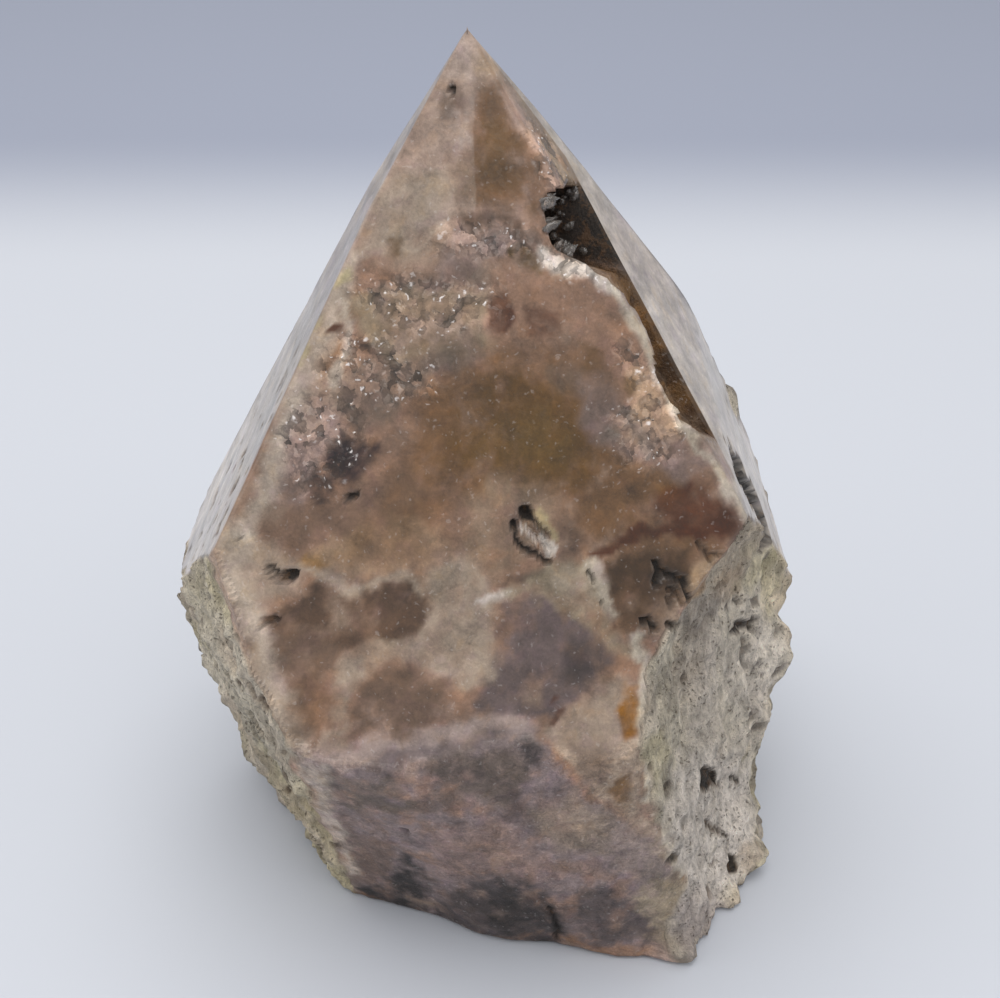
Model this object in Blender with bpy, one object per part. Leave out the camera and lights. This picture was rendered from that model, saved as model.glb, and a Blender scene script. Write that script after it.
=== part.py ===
"""A polished point of pink amethyst, 96 mm tall: one stone, ground to faces that meet at a tip above a
rough natural rind, and the crust of small quartz crystals in its largest hollow.

The frame is +Z up, with the front, widest polished face towards -Y. The origin is the centre of the flat
spot that the stone rests on."""

import math

import bmesh
import bpy
import numpy as np
from mathutils import Matrix, Vector

MM = 0.001

# Driving sizes, in millimetres and degrees.
TIP_X = -3.1
TIP_HEIGHT = 96.0
TOP_OF_RIND = 60.0
ROUGH_TOP = 100.0
REST_SPOT_SHARE = 0.93
REST_EDGE_RISE = 0.7
RING_STEP = 2.3
COLUMNS = 84
RIND_LUMP_SIZE = 14.0
RIND_LUMP_HEIGHT = 1.0
RIND_OCTAVES = 3
RIND_GAIN = 0.55
BREAK_FACE_SHARE = 0.3
RIND_EDGE_SOFTNESS = 0.8
CRUST_GAP = 0.35
CRUST_WALL = 0.6
CRUST_OPENING = 78.0

# Ground faces: the way each one looks, as an azimuth from +X, and how far it reaches from the upright line
# through the tip, as pairs of height and reach. A face with several pairs is ground in steps.
GROUND_FACES = (
    (-97.0, ((TIP_HEIGHT, 0.0), (0.0, 47.42))),
    (-90.0, ((TIP_HEIGHT, 0.12), (0.0, 47.1))),
    (-83.0, ((TIP_HEIGHT, 0.0), (0.0, 47.42))),
    (-14.8, ((TIP_HEIGHT, 0.0), (0.0, 70.0))),
    (-8.2, ((TIP_HEIGHT, 0.9), (0.0, 66.3))),
    (-2.2, ((TIP_HEIGHT, 10.1), (0.0, 50.7))),
    (64.5, ((TIP_HEIGHT, 0.0), (0.0, 54.0))),
    (124.0, ((TIP_HEIGHT, 0.0), (0.0, 48.0))),
    (181.0, ((TIP_HEIGHT, 0.0), (80.0, 9.9), (0.0, 51.8))),
)

# Broken and natural faces: azimuth, and height and reach pairs from the upright line through the origin.
ROUGH_FACES = (
    (-108.0, ((100.0, 50.0), (36.0, 34.5), (32.0, 34.5), (0.0, 22.5))),
    (-86.0, ((100.0, 45.0), (37.0, 30.2), (30.0, 30.6), (12.0, 29.4), (0.0, 28.5))),
    (-33.0, ((100.0, 40.0), (56.0, 33.0), (53.0, 31.0), (46.0, 27.9), (39.0, 27.0), (28.0, 28.4),
             (18.0, 30.2), (8.0, 31.4), (0.0, 32.4))),
    (10.0, ((100.0, 42.0), (36.0, 34.0), (33.0, 32.6), (25.0, 31.8), (20.0, 30.2), (12.0, 29.2), (6.0, 29.4),
            (3.0, 28.6), (0.0, 29.6))),
    (55.0, ((100.0, 45.0), (40.0, 33.0), (0.0, 29.0))),
    (92.0, ((100.0, 45.0), (40.0, 31.0), (0.0, 26.0))),
    (135.0, ((100.0, 45.0), (40.0, 34.0), (0.0, 28.0))),
    (180.0, ((100.0, 50.0), (34.0, 37.4), (28.0, 38.6), (22.0, 40.8), (16.0, 41.6), (12.0, 39.2), (6.0, 35.4),
             (0.0, 31.6))),
    (209.0, ((100.0, 45.0), (52.0, 34.4), (33.0, 33.4), (18.0, 30.2), (0.0, 25.0))),
)

# Lumps of the rind: place, radius and height.
LUMPS = (
    ((31.4, -5.0, 26.0), 5.5, 1.6),
    ((29.5, -14.5, 2.5), 4.2, 2.4),
    ((27.4, -19.4, 1.5), 3.6, 1.8),
    ((19.6, -27.2, 1.0), 3.6, 1.8),
    ((-1.0, -25.0, 2.0), 8.0, 1.6),
    ((28.0, -12.5, 17.0), 4.0, 1.0),
    ((-38.0, 3.0, 18.0), 7.0, 1.0),
    ((-30.0, -8.0, 10.0), 6.0, 1.2),
    ((8.0, 30.0, 22.0), 8.0, 1.8),
    ((-16.0, 28.0, 12.0), 7.0, 1.5),
    ((24.0, 20.0, 14.0), 6.0, 1.4),
)

# Hollows: name, place and radii. The first is the large one that holds the crystals.
HOLLOWS = (
    ("crystal hollow", (7.7, -4.6, 78.5), (3.5, 3.7, 4.1)),
    ("crystal hollow foot", (11.2, -5.6, 74.6), (2.4, 2.6, 3.4)),
    ("side hollow", (26.6, -10.4, 48.2), (2.0, 2.9, 4.6)),
    ("middle pocket", (2.5, -20.1, 54.2), (1.6, 2.0, 1.9)),
    ("middle pocket foot", (3.9, -21.4, 51.4), (1.3, 1.2, 1.5)),
    ("jagged hollow", (16.0, -21.4, 48.2), (1.3, 1.8, 1.8)),
    ("jagged hollow foot", (18.2, -21.9, 46.2), (1.7, 2.0, 1.5)),
    ("corner hollow", (15.0, -24.0, 43.7), (1.5, 1.7, 1.3)),
    ("left hollow", (-21.0, -21.6, 48.3), (1.6, 1.8, 1.2)),
    ("left hollow foot", (-23.2, -23.2, 44.4), (1.7, 1.6, 1.4)),
    ("foot slot", (6.0, -27.2, 4.6), (0.9, 2.2, 3.0)),
    ("low crevice", (22.8, -20.6, 20.4), (2.2, 2.4, 2.2)),
    ("low crevice side", (27.4, -12.6, 14.0), (2.0, 2.0, 1.4)),
    ("lump crevice", (29.2, -10.4, 22.6), (1.8, 2.6, 1.1)),
    ("high crevice", (27.2, -9.6, 32.8), (1.9, 2.6, 1.3)),
    ("shoulder crevice", (24.6, -13.6, 39.4), (1.4, 1.6, 2.0)),
    ("back pocket", (10.0, 22.0, 52.0), (3.0, 2.6, 3.4)),
    ("back seam", (-14.0, 20.5, 47.0), (3.6, 2.0, 1.8)),
    ("back low pocket", (-2.0, 29.6, 18.0), (3.2, 2.2, 2.4)),
    ("left low pocket", (-37.5, 6.0, 16.0), (1.8, 2.4, 2.0)),
)
GROOVE_START = (14.4, -8.3, 71.4)
GROOVE_END = (22.0, -14.0, 59.6)
GROOVE_STEPS = 9
GROOVE_RADII = (1.9, 2.1, 2.4)

KNOB_PLACE = (25.6, 12.6, 48.9)
KNOB_RADII = (3.2, 3.2, 4.2)

# Crystals of the crust: angles down from the hollow's inward line and around it, and their length.
CRYSTALS = (
    (8, 20, 1.5), (28, 75, 1.3), (26, 160, 1.6), (30, 245, 1.3), (27, 330, 1.5), (50, 35, 1.4),
    (52, 95, 1.2), (50, 150, 1.4), (54, 205, 1.2), (51, 262, 1.4), (53, 318, 1.3), (50, 5, 1.2),
)
CRYSTAL_RADIUS = 0.5
CRYSTAL_SIDES = 6


def clear_scene():
    for obj in list(bpy.data.objects):
        bpy.data.objects.remove(obj)


def lattice(cell, seed):
    """A repeatable number from -1 to 1 for each whole-numbered cell of space."""
    mixed = (cell[..., 0] * 374761393 + cell[..., 1] * 668265263 + cell[..., 2] * 2147483647
             + seed * 1274126177) & 0xFFFFFFFF
    mixed = ((mixed ^ (mixed >> 13)) * 1103515245) & 0xFFFFFFFF
    mixed = ((mixed ^ (mixed >> 16)) * 2246822519) & 0xFFFFFFFF
    return ((mixed ^ (mixed >> 15)) & 0xFFFFFF) / float(0x800000) - 1.0


def value_noise(points, size, seed):
    """Smooth noise: the lattice numbers at a cell's eight corners, blended by a fifth-power ease."""
    scaled = points / size
    cell = np.floor(scaled).astype(np.int64)
    part = scaled - cell
    ease = part ** 3 * (part * (part * 6 - 15) + 10)
    total = np.zeros(points.shape[:-1])
    for corner in np.ndindex(2, 2, 2):
        weight = np.where(corner, ease, 1 - ease).prod(axis=-1)
        total += weight * lattice(cell + np.array(corner), seed)
    return total


def fractal(points, size, seed, octaves, gain):
    """Noise at size, half of it, and so on, each fainter than the last by gain."""
    return sum(gain ** k * value_noise(points, size / 2 ** k, seed + k) for k in range(octaves))


def rough_radius(azimuth, height):
    """Distance from the upright line through the origin to the rough body: the soft least of its faces,
    each at its reach over the cosine of the angle away from it."""
    found = []
    for facing, profile in ROUGH_FACES:
        heights, reaches = np.array(profile[::-1]).T
        cosine = np.cos(azimuth - math.radians(facing))
        reach = np.interp(height, heights, reaches)
        found.append(np.where(cosine > 0.05, reach / np.maximum(cosine, 0.05), 1000.0))
    found = np.stack(found)
    least = found.min(axis=0)
    return least - RIND_EDGE_SOFTNESS * np.log(np.exp((least - found) / RIND_EDGE_SOFTNESS).sum(axis=0))


def rind_relief(points, azimuth):
    """Height of the lumps and noise of the rind, which is low on the broken front face."""
    from_front = np.abs((azimuth + math.radians(92.0) + math.pi) % (2 * math.pi) - math.pi)
    wildness = np.clip((from_front - math.radians(20.0)) / math.radians(25.0), 0, 1)
    share = BREAK_FACE_SHARE + (1 - BREAK_FACE_SHARE) * wildness
    relief = share * RIND_LUMP_HEIGHT * fractal(points, RIND_LUMP_SIZE, 3, RIND_OCTAVES, RIND_GAIN)
    for place, radius, height in LUMPS:
        away = np.linalg.norm(points - np.array(place), axis=-1) / radius
        relief += height * np.clip(1 - away ** 2, 0, 1) ** 2
    return relief


def ring_points(height):
    """The outline of the rough body at one height, as rows of x, y and z."""
    azimuth = np.linspace(-math.pi, math.pi, COLUMNS, endpoint=False)
    level = np.full(COLUMNS, height)
    radius = rough_radius(azimuth, level)
    around = np.stack([np.cos(azimuth), np.sin(azimuth), np.zeros(COLUMNS)], axis=-1)
    smooth = around * radius[:, None] + np.array([0.0, 0.0, height])
    return smooth + around * rind_relief(smooth, azimuth)[:, None]


def make_object(name, mesh_in_mm, material=None):
    """An object from a bmesh drawn in millimetres."""
    bmesh.ops.scale(mesh_in_mm, vec=(MM, MM, MM), verts=mesh_in_mm.verts)
    bmesh.ops.recalc_face_normals(mesh_in_mm, faces=mesh_in_mm.faces)
    mesh = bpy.data.meshes.new(name)
    mesh_in_mm.to_mesh(mesh)
    mesh_in_mm.free()
    obj = bpy.data.objects.new(name, mesh)
    bpy.context.scene.collection.objects.link(obj)
    if material:
        mesh.materials.append(material)
    return obj


def hide(obj, folder=None):
    """Marks a cutter or a guide, which is no part of the object."""
    obj.hide_render = True
    obj.display_type = "WIRE"
    if folder:
        bpy.context.scene.collection.objects.unlink(obj)
        folder.objects.link(obj)
    return obj


def boolean(obj, name, operation, other=None, folder=None):
    modifier = obj.modifiers.new(name, "BOOLEAN")
    modifier.operation = operation
    modifier.solver = "EXACT"
    if folder:
        modifier.operand_type = "COLLECTION"
        modifier.collection = folder
    else:
        modifier.object = other


def stone_material(name, colour, roughness):
    material = bpy.data.materials.new(name)
    material.use_nodes = True
    shader = material.node_tree.nodes["Principled BSDF"]
    shader.inputs["Base Color"].default_value = (*colour, 1.0)
    shader.inputs["Roughness"].default_value = roughness
    shader.inputs["Metallic"].default_value = 0.0
    material.diffuse_color = (*colour, 1.0)
    return material


def rough_body(material):
    """The natural chunk before grinding: rings of the rough outline, bridged from the rest spot upwards."""
    heights = [REST_EDGE_RISE, *np.arange(RING_STEP, TOP_OF_RIND, RING_STEP), ROUGH_TOP]
    spot = ring_points(0.0) * np.array([REST_SPOT_SHARE, REST_SPOT_SHARE, 1.0])
    outlines = [spot, *(ring_points(height) for height in heights)]
    bm = bmesh.new()
    rings = [[bm.verts.new(point) for point in outline] for outline in outlines]
    bm.faces.new(rings[0][::-1])
    bm.faces.new(rings[-1])
    for lower, upper in zip(rings, rings[1:]):
        for k in range(COLUMNS):
            following = (k + 1) % COLUMNS
            bm.faces.new((lower[k], lower[following], upper[following], upper[k]))
    return make_object("amethyst_point", bm, material)


def ground_form():
    """The form that the grinding wheel leaves: a block cut by the plane of every ground step."""
    bm = bmesh.new()
    bmesh.ops.create_cube(bm, size=240.0)
    for facing, profile in GROUND_FACES:
        across = Vector((math.cos(math.radians(facing)), math.sin(math.radians(facing)), 0.0))
        for (high, near), (low, far) in zip(profile, profile[1:]):
            normal = (across * (high - low) + Vector((0, 0, far - near))).normalized()
            point = Vector((TIP_X, 0, high)) + across * near
            cut = bmesh.ops.bisect_plane(
                bm, geom=[*bm.verts, *bm.edges, *bm.faces], plane_co=point, plane_no=normal, clear_outer=True)
            rim = [item for item in cut["geom_cut"] if isinstance(item, bmesh.types.BMEdge)]
            if rim:
                bmesh.ops.contextual_create(bm, geom=rim)
    bmesh.ops.remove_doubles(bm, verts=bm.verts, dist=0.01)
    return hide(make_object("ground_form", bm))


def hollow_ball(name, place, radii, folder, seed, detail=2, wobble=0.28):
    """A cutter or lump: a ball with uneven radii and a knobbly skin."""
    bm = bmesh.new()
    bmesh.ops.create_icosphere(bm, subdivisions=detail, radius=1.0)
    points = np.array([vert.co[:] for vert in bm.verts])
    swell = 1 + wobble * value_noise(points, 0.8, seed)
    for vert, scale in zip(bm.verts, swell):
        vert.co = Vector(place) + Vector([c * r * scale for c, r in zip(vert.co, radii)])
    return hide(make_object(name, bm), folder)


def cut_hollows(stone):
    folder = bpy.data.collections.new("hollows")
    bpy.context.scene.collection.children.link(folder)
    for seed, (name, place, radii) in enumerate(HOLLOWS):
        if seed == 0:
            hollow_ball(name, place, radii, folder, seed, detail=3, wobble=0.0)
        else:
            hollow_ball(name, place, radii, folder, seed)
    start, end = Vector(GROOVE_START), Vector(GROOVE_END)
    for k in range(GROOVE_STEPS):
        place = start.lerp(end, k / (GROOVE_STEPS - 1))
        hollow_ball("groove", place, GROOVE_RADII, folder, 40 + k)
    boolean(stone, "hollows", "DIFFERENCE", folder=folder)


def spread(direction, radii):
    """The point of an ellipsoid that lies in a direction."""
    return Vector([c * r for c, r in zip(direction, radii)])


def crust(material, envelope):
    """The bowl of quartz crystals that lines the large hollow, a small gap away from the stone. The grinding
    cut it off level with the faces."""
    _, place, radii = HOLLOWS[0]
    centre = Vector(place)
    inward = (Vector((TIP_X, 0.0, place[2] - 8.0)) - centre).normalized()
    turn = inward.to_track_quat("Z", "Y").to_matrix()
    rings, around = 7, 20
    outer = Vector(radii) - Vector((CRUST_GAP, CRUST_GAP, CRUST_GAP))
    wall = Vector((CRUST_WALL, CRUST_WALL, CRUST_WALL))

    def direction(angle, bearing):
        a, b = math.radians(angle), math.radians(bearing)
        return turn @ Vector((math.sin(a) * math.cos(b), math.sin(a) * math.sin(b), math.cos(a)))

    bm = bmesh.new()
    shells = []
    for reach in (outer, outer - wall):
        pole = bm.verts.new(centre + spread(direction(0, 0), reach))
        loops = [
            [bm.verts.new(centre + spread(direction(CRUST_OPENING * i / rings, 360 * k / around), reach))
             for k in range(around)]
            for i in range(1, rings + 1)
        ]
        shells.append((pole, loops))
    for pole, loops in shells:
        for k in range(around):
            bm.faces.new((pole, loops[0][k], loops[0][(k + 1) % around]))
        for near, far in zip(loops, loops[1:]):
            for k in range(around):
                following = (k + 1) % around
                bm.faces.new((near[k], far[k], far[following], near[following]))
    rims = [loops[-1] for _, loops in shells]
    for k in range(around):
        following = (k + 1) % around
        bm.faces.new((rims[0][k], rims[1][k], rims[1][following], rims[0][following]))
    bowl = make_object("vug_crystal_crust", bm, material)
    folder = bpy.data.collections.new("crystals")
    bpy.context.scene.collection.children.link(folder)
    for angle, bearing, length in CRYSTALS:
        out = direction(angle, bearing)
        crystal(centre + spread(out, outer - wall / 2), -out, length, folder)
    boolean(bowl, "crystals", "UNION", folder=folder)
    boolean(bowl, "grind", "INTERSECT", other=envelope)


def crystal(root, pointing, length, folder):
    """One quartz crystal: a six-sided column with a pointed end, rooted in the crust's wall."""
    bm = bmesh.new()
    shaft = 0.5 * length
    foot = [Vector((CRYSTAL_RADIUS * math.cos(a), CRYSTAL_RADIUS * math.sin(a), 0.0))
            for a in (2 * math.pi * k / CRYSTAL_SIDES for k in range(CRYSTAL_SIDES))]
    base = [bm.verts.new(point) for point in foot]
    top = [bm.verts.new(point + Vector((0, 0, shaft))) for point in foot]
    end = bm.verts.new((0.0, 0.0, length))
    bm.faces.new(base[::-1])
    for k in range(CRYSTAL_SIDES):
        following = (k + 1) % CRYSTAL_SIDES
        bm.faces.new((base[k], base[following], top[following], top[k]))
        bm.faces.new((top[k], top[following], end))
    turn = pointing.to_track_quat("Z", "Y").to_matrix().to_4x4()
    place = Matrix.Translation(root)
    bmesh.ops.transform(bm, matrix=place @ turn, verts=bm.verts)
    return hide(make_object("crystal", bm), folder)


def main():
    clear_scene()
    amethyst = stone_material("amethyst", (0.42, 0.31, 0.28), 0.3)
    quartz = stone_material("quartz crystals", (0.5, 0.45, 0.42), 0.2)
    stone = rough_body(amethyst)
    envelope = ground_form()
    boolean(stone, "grind", "INTERSECT", other=envelope)
    knobs = bpy.data.collections.new("knobs")
    bpy.context.scene.collection.children.link(knobs)
    hollow_ball("rind knob", KNOB_PLACE, KNOB_RADII, knobs, 80)
    boolean(stone, "knob", "UNION", folder=knobs)
    cut_hollows(stone)
    crust(quartz, envelope)


if __name__ == "__main__":
    main()
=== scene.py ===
"""Looks for a half-polished point of pink amethyst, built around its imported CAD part.

The stone is one surface worked out with numpy: ground faces above, natural rind below, and pits, crevices
and hollows pressed into it. Its colours are named zones and strokes laid over it, and quartz crystals line
its largest hollow. Lengths are in millimetres until a mesh is made, and then in metres."""

import math

import bpy
import numpy as np
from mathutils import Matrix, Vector


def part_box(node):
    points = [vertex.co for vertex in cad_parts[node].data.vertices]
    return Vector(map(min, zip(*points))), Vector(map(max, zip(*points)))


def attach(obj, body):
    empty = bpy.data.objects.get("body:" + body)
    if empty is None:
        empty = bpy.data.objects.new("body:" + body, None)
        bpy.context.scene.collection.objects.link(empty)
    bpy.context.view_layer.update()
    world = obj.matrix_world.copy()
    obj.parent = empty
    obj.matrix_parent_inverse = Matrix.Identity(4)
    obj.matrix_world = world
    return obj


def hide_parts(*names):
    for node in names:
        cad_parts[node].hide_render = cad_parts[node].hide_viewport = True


bl_info = {
    "name": "Polished amethyst point",
    "version": (1, 0, 0),
    "blender": (4, 5, 0),
    "location": "3D Viewport > Sidebar > Amethyst",
    "description": "Builds a half-polished amethyst point with its rind and hollow of quartz crystals",
    "category": "Add Mesh",
}

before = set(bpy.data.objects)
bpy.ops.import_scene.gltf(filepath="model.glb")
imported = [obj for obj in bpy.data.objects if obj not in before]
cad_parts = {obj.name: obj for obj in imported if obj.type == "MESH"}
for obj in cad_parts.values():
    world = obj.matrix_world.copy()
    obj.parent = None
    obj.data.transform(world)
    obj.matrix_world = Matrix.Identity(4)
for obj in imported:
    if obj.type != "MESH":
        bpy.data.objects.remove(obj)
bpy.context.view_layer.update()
MM = 0.001

# The stone's form

TIP_X = -3.1
TIP_HEIGHT = 96.0

# Ground faces: azimuth from +X, reach at the tip's height, and how much the reach grows for each millimetre
# down. The second face on the left takes over where its line passes the first one's.
GROUND_FACES = (
    (-97.0, 0.0, 0.4940),
    (-90.0, 0.12, 0.4894),
    (-83.0, 0.0, 0.4940),
    (-14.8, 0.0, 0.7292),
    (-8.2, 0.9, 0.6813),
    (-2.2, 10.1, 0.4229),
    (64.5, 0.0, 0.5625),
    (124.0, 0.0, 0.5),
    (181.0, 0.0, 0.6188),
    (181.0, 1.52, 0.5238),
)

# Broken and natural faces: azimuth, and height and reach pairs, from the upright line through the origin.
ROUGH_FACES = (
    (-108.0, ((100.0, 50.0), (36.0, 34.5), (32.0, 34.5), (0.0, 22.5))),
    (-86.0, ((100.0, 45.0), (37.0, 30.2), (30.0, 30.6), (12.0, 29.4), (0.0, 28.5))),
    (-33.0, ((100.0, 40.0), (56.0, 33.0), (53.0, 31.0), (46.0, 27.9), (39.0, 27.0), (28.0, 28.4),
             (18.0, 30.2), (8.0, 31.4), (0.0, 32.4))),
    (10.0, ((100.0, 42.0), (36.0, 34.0), (33.0, 32.6), (25.0, 31.8), (20.0, 30.2), (12.0, 29.2), (6.0, 29.4),
            (3.0, 28.6), (0.0, 29.6))),
    (55.0, ((100.0, 45.0), (40.0, 33.0), (0.0, 29.0))),
    (92.0, ((100.0, 45.0), (40.0, 31.0), (0.0, 26.0))),
    (135.0, ((100.0, 45.0), (40.0, 34.0), (0.0, 28.0))),
    (180.0, ((100.0, 50.0), (34.0, 37.4), (28.0, 38.6), (22.0, 40.8), (16.0, 41.6), (12.0, 39.2), (6.0, 35.4),
             (0.0, 31.6))),
    (209.0, ((100.0, 45.0), (52.0, 34.4), (33.0, 33.4), (18.0, 30.2), (0.0, 25.0))),
)

# Where the broken front ends and the rind begins: the azimuth of its middle, how many degrees before and past
# its end the skin changes, and rows of height and of the end's degrees on the left and the right.
FRONT_MIDDLE = -92.0
FRONT_FADE = (-5.0, 8.0)
FRONT_ENDS = (
    (0.0, 42.0, 37.0),
    (13.5, 37.0, 38.0),
    (20.0, 35.0, 33.5),
    (27.0, 33.5, 31.5),
    (33.0, 33.0, 29.0),
    (38.0, 37.0, 30.0),
    (41.0, 45.0, 31.0),
    (43.0, 48.0, 33.0),
    (44.5, 51.0, 46.0),
    (50.0, 56.0, 56.0),
)

# Lumps of the rind: place, radius and height.
LUMPS = (
    ((31.4, -5.0, 26.0), 5.5, 1.6),
    ((29.5, -14.5, 2.5), 4.2, 2.4),
    ((27.4, -19.4, 1.5), 3.6, 1.8),
    ((19.6, -27.2, 1.0), 3.6, 1.8),
    ((-1.0, -25.0, 2.0), 8.0, 1.6),
    ((28.0, -12.5, 17.0), 4.0, 1.0),
    ((-38.0, 3.0, 18.0), 7.0, 1.0),
    ((-30.0, -8.0, 10.0), 6.0, 1.2),
    ((8.0, 30.0, 22.0), 8.0, 1.8),
    ((-16.0, 28.0, 12.0), 7.0, 1.5),
    ((24.0, 20.0, 14.0), 6.0, 1.4),
)

# Hollows round the back and, first, the long one in the right face just behind its edge: the ends of their
# middle lines, radius and depth.
HOLLOWS = (
    ((25.0, -9.8, 52.8), (28.8, -3.0, 43.2), 3.2, 3.0),
    ((9.2, 22.4, 50.6), (11.6, 21.6, 53.6), 2.0, 1.7),
    ((-16.4, 20.4, 46.0), (-11.8, 20.8, 48.0), 1.2, 1.1),
    ((-5.0, 29.6, 17.0), (0.6, 29.6, 19.2), 1.5, 1.6),
    ((-37.5, 4.0, 15.0), (-37.6, 7.0, 18.0), 1.3, 1.3),
)

# The large hollow at the edge, as its outline in the picture, and its depth.
EDGE_HOLLOW = ((546, 199), (554, 193), (563, 190), (575, 183), (586, 186), (640, 240), (660, 290), (634, 279),
               (618, 274), (603, 277), (592, 264), (572, 256), (558, 250), (549, 232))
EDGE_HOLLOW_DEPTH = 7.5

# The brown groove below it: the front's rounded edge in the picture, and the groove's depth at those points.
GROOVE = (
    (270, 606, 0.6),
    (280, 612, 0.9),
    (295, 626, 1.0),
    (315, 641, 1.2),
    (340, 651, 1.7),
    (355, 655, 2.2),
    (380, 662, 2.6),
    (400, 674, 2.8),
    (420, 686, 2.8),
    (432, 699, 2.2),
    (440, 716, 0.0),
)

# Small holes and crevices on the side that the camera sees: half width in the picture's pixels, how much
# painted shade darkens them, and the line that they follow in the picture. Each is as deep as CREVICE_DEPTH
# times its half width.
CREVICE_DEPTH = 0.17
CREVICES = (
    (8.0, 1.0, ((527, 513), (529, 519))),
    (4.5, 1.0, ((512, 523), (515, 531))),
    (6.0, 0.0, ((525, 525), (536, 540), (544, 548))),
    (3.0, 1.0, ((516, 540), (524, 549), (538, 554), (547, 561))),
    (2.5, 0.5, ((536, 520), (548, 534))),
    (4.5, 1.0, ((657, 562), (660, 572), (655, 583))),
    (4.0, 1.0, ((659, 568), (669, 577), (682, 583), (691, 597))),
    (2.8, 1.0, ((686, 578), (690, 592))),
    (3.0, 0.8, ((669, 589), (676, 594), (684, 604))),
    (3.0, 0.7, ((668, 600), (671, 605))),
    (4.5, 1.0, ((641, 625), (652, 621), (657, 632))),
    (3.5, 1.0, ((670, 626), (675, 629))),
    (2.6, 0.8, ((701, 547), (710, 555), (722, 552))),
    (2.4, 0.7, ((710, 556), (713, 562))),
    (6.0, 1.0, ((284, 578), (295, 576))),
    (3.8, 0.8, ((268, 568), (274, 576), (284, 579))),
    (5.0, 0.6, ((262, 624), (272, 621))),
    (3.6, 1.0, ((349, 498), (355, 496))),
    (3.6, 1.0, ((449, 88), (451, 93))),
    (3.0, 0.6, ((236, 534), (240, 538))),
    (2.4, 0.7, ((590, 572), (597, 581))),
    (2.4, 0.6, ((603, 603), (607, 605))),
    (2.6, 0.9, ((732, 594), (728, 605))),
    (1.8, 0.8, ((739, 600), (741, 603))),
    (4.0, 1.0, ((738, 630), (748, 624))),
    (5.0, 1.0, ((757, 620), (756, 629))),
    (2.2, 0.9, ((756, 668), (762, 664))),
    (1.6, 0.9, ((762, 674), (770, 677))),
    (3.0, 0.7, ((744, 640), (748, 668))),
    (6.0, 1.0, ((708, 773), (706, 787))),
    (5.0, 1.0, ((711, 777), (717, 784))),
    (3.0, 1.0, ((731, 774), (738, 780))),
    (1.8, 0.9, ((711, 824), (717, 830), (725, 836))),
    (3.4, 0.9, ((669, 860), (676, 857))),
    (2.4, 0.8, ((713, 866), (717, 864))),
    (2.4, 1.0, ((736, 860), (735, 872))),
    (3.0, 0.9, ((551, 910), (560, 936))),
    (2.4, 0.6, ((400, 831), (405, 833))),
    (2.0, 0.5, ((459, 822), (463, 824))),
)

# The knob of rind that stands out on the right, behind the edge.
KNOB = ((25.8, 12.8, 48.7), (3.4, 3.4, 4.4), 1.5)

# How round the corners between faces are
GROUND_CORNER = 0.22
ROUGH_CORNER = 0.8

# Widths of the skin's waves, grains and pores
BROAD_WAVE = 14.0
FACE_EDGE_WAVE = 5.0
RIND_EDGE_WAVE = 4.0
PEBBLE_SIZE = 2.6
CRUMB_SIZE = 1.25
PORE_SIZE = 2.2
RIPPLE_SIZE = 1.5
SUGAR_SIZE = 2.2
SCRATCH_SIZE = 1.6

# Their heights: on the rind, on the broken front and on the ground faces
RIND_RELIEF = {"pebbles": 0.5, "crumbs": 0.36, "sunk": 0.46, "pores": 0.6, "ripples": 0.6}
SUGAR_RELIEF = {"crumbs": 0.16, "sunk": 0.12, "waves": 0.12}
GROUND_RELIEF = 0.05
SCRATCH_DEPTH = 0.3
BROAD_WAVE_ON_FRONT = 0.3

# How ragged the hollows are in millimetres, and the crevices in pixels, and the width of their raggedness
HOLLOW_RAGGEDNESS = 1.3
CREVICE_RAGGEDNESS = 3.0
RAGGED_WAVE = 2.2

# Columns over which the wall at the edge of the right face sinks
WALL_COLUMNS = 7.0

# The stone's mesh: columns on the left face, the front, the narrow bevel, the right face and the back.
COLUMNS = (60, 162, 42, 48, 76)
ROWS_SIDE = 244
ROWS_BASE = 9
REST_SPOT_SHARE = 0.93

# Camera, in millimetres and degrees: it stands in front of the stone and looks down at it.
CAMERA_PLACE = (0.0, -143.0, 133.0)
CAMERA_DIP = 32.0
CAMERA_LENS = 54.0
SENSOR_WIDTH = 36.0
PICTURE_SIZE = (1000.0, 998.0)


def lattice(cell, seed):
    """A repeatable number from -1 to 1 for each whole-numbered cell of space."""
    mixed = (cell[..., 0] * 374761393 + cell[..., 1] * 668265263 + cell[..., 2] * 2147483647
             + seed * 1274126177) & 0xFFFFFFFF
    mixed = ((mixed ^ (mixed >> 13)) * 1103515245) & 0xFFFFFFFF
    mixed = ((mixed ^ (mixed >> 16)) * 2246822519) & 0xFFFFFFFF
    return ((mixed ^ (mixed >> 15)) & 0xFFFFFF) / float(0x800000) - 1.0


def value_noise(points, size, seed):
    """Smooth noise: the lattice numbers at a cell's eight corners, blended by a fifth-power ease."""
    scaled = points / size
    cell = np.floor(scaled).astype(np.int64)
    part = scaled - cell
    ease = part ** 3 * (part * (part * 6 - 15) + 10)
    total = np.zeros(points.shape[:-1])
    for corner in np.ndindex(2, 2, 2):
        weight = np.where(corner, ease, 1 - ease).prod(axis=-1)
        total += weight * lattice(cell + np.array(corner), seed)
    return total


def fractal(points, size, seed, octaves=3, gain=0.55):
    """Noise at size, half of it, and so on, each fainter than the last by gain."""
    return sum(gain ** k * value_noise(points, size / 2 ** k, seed + k) for k in range(octaves))


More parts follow.
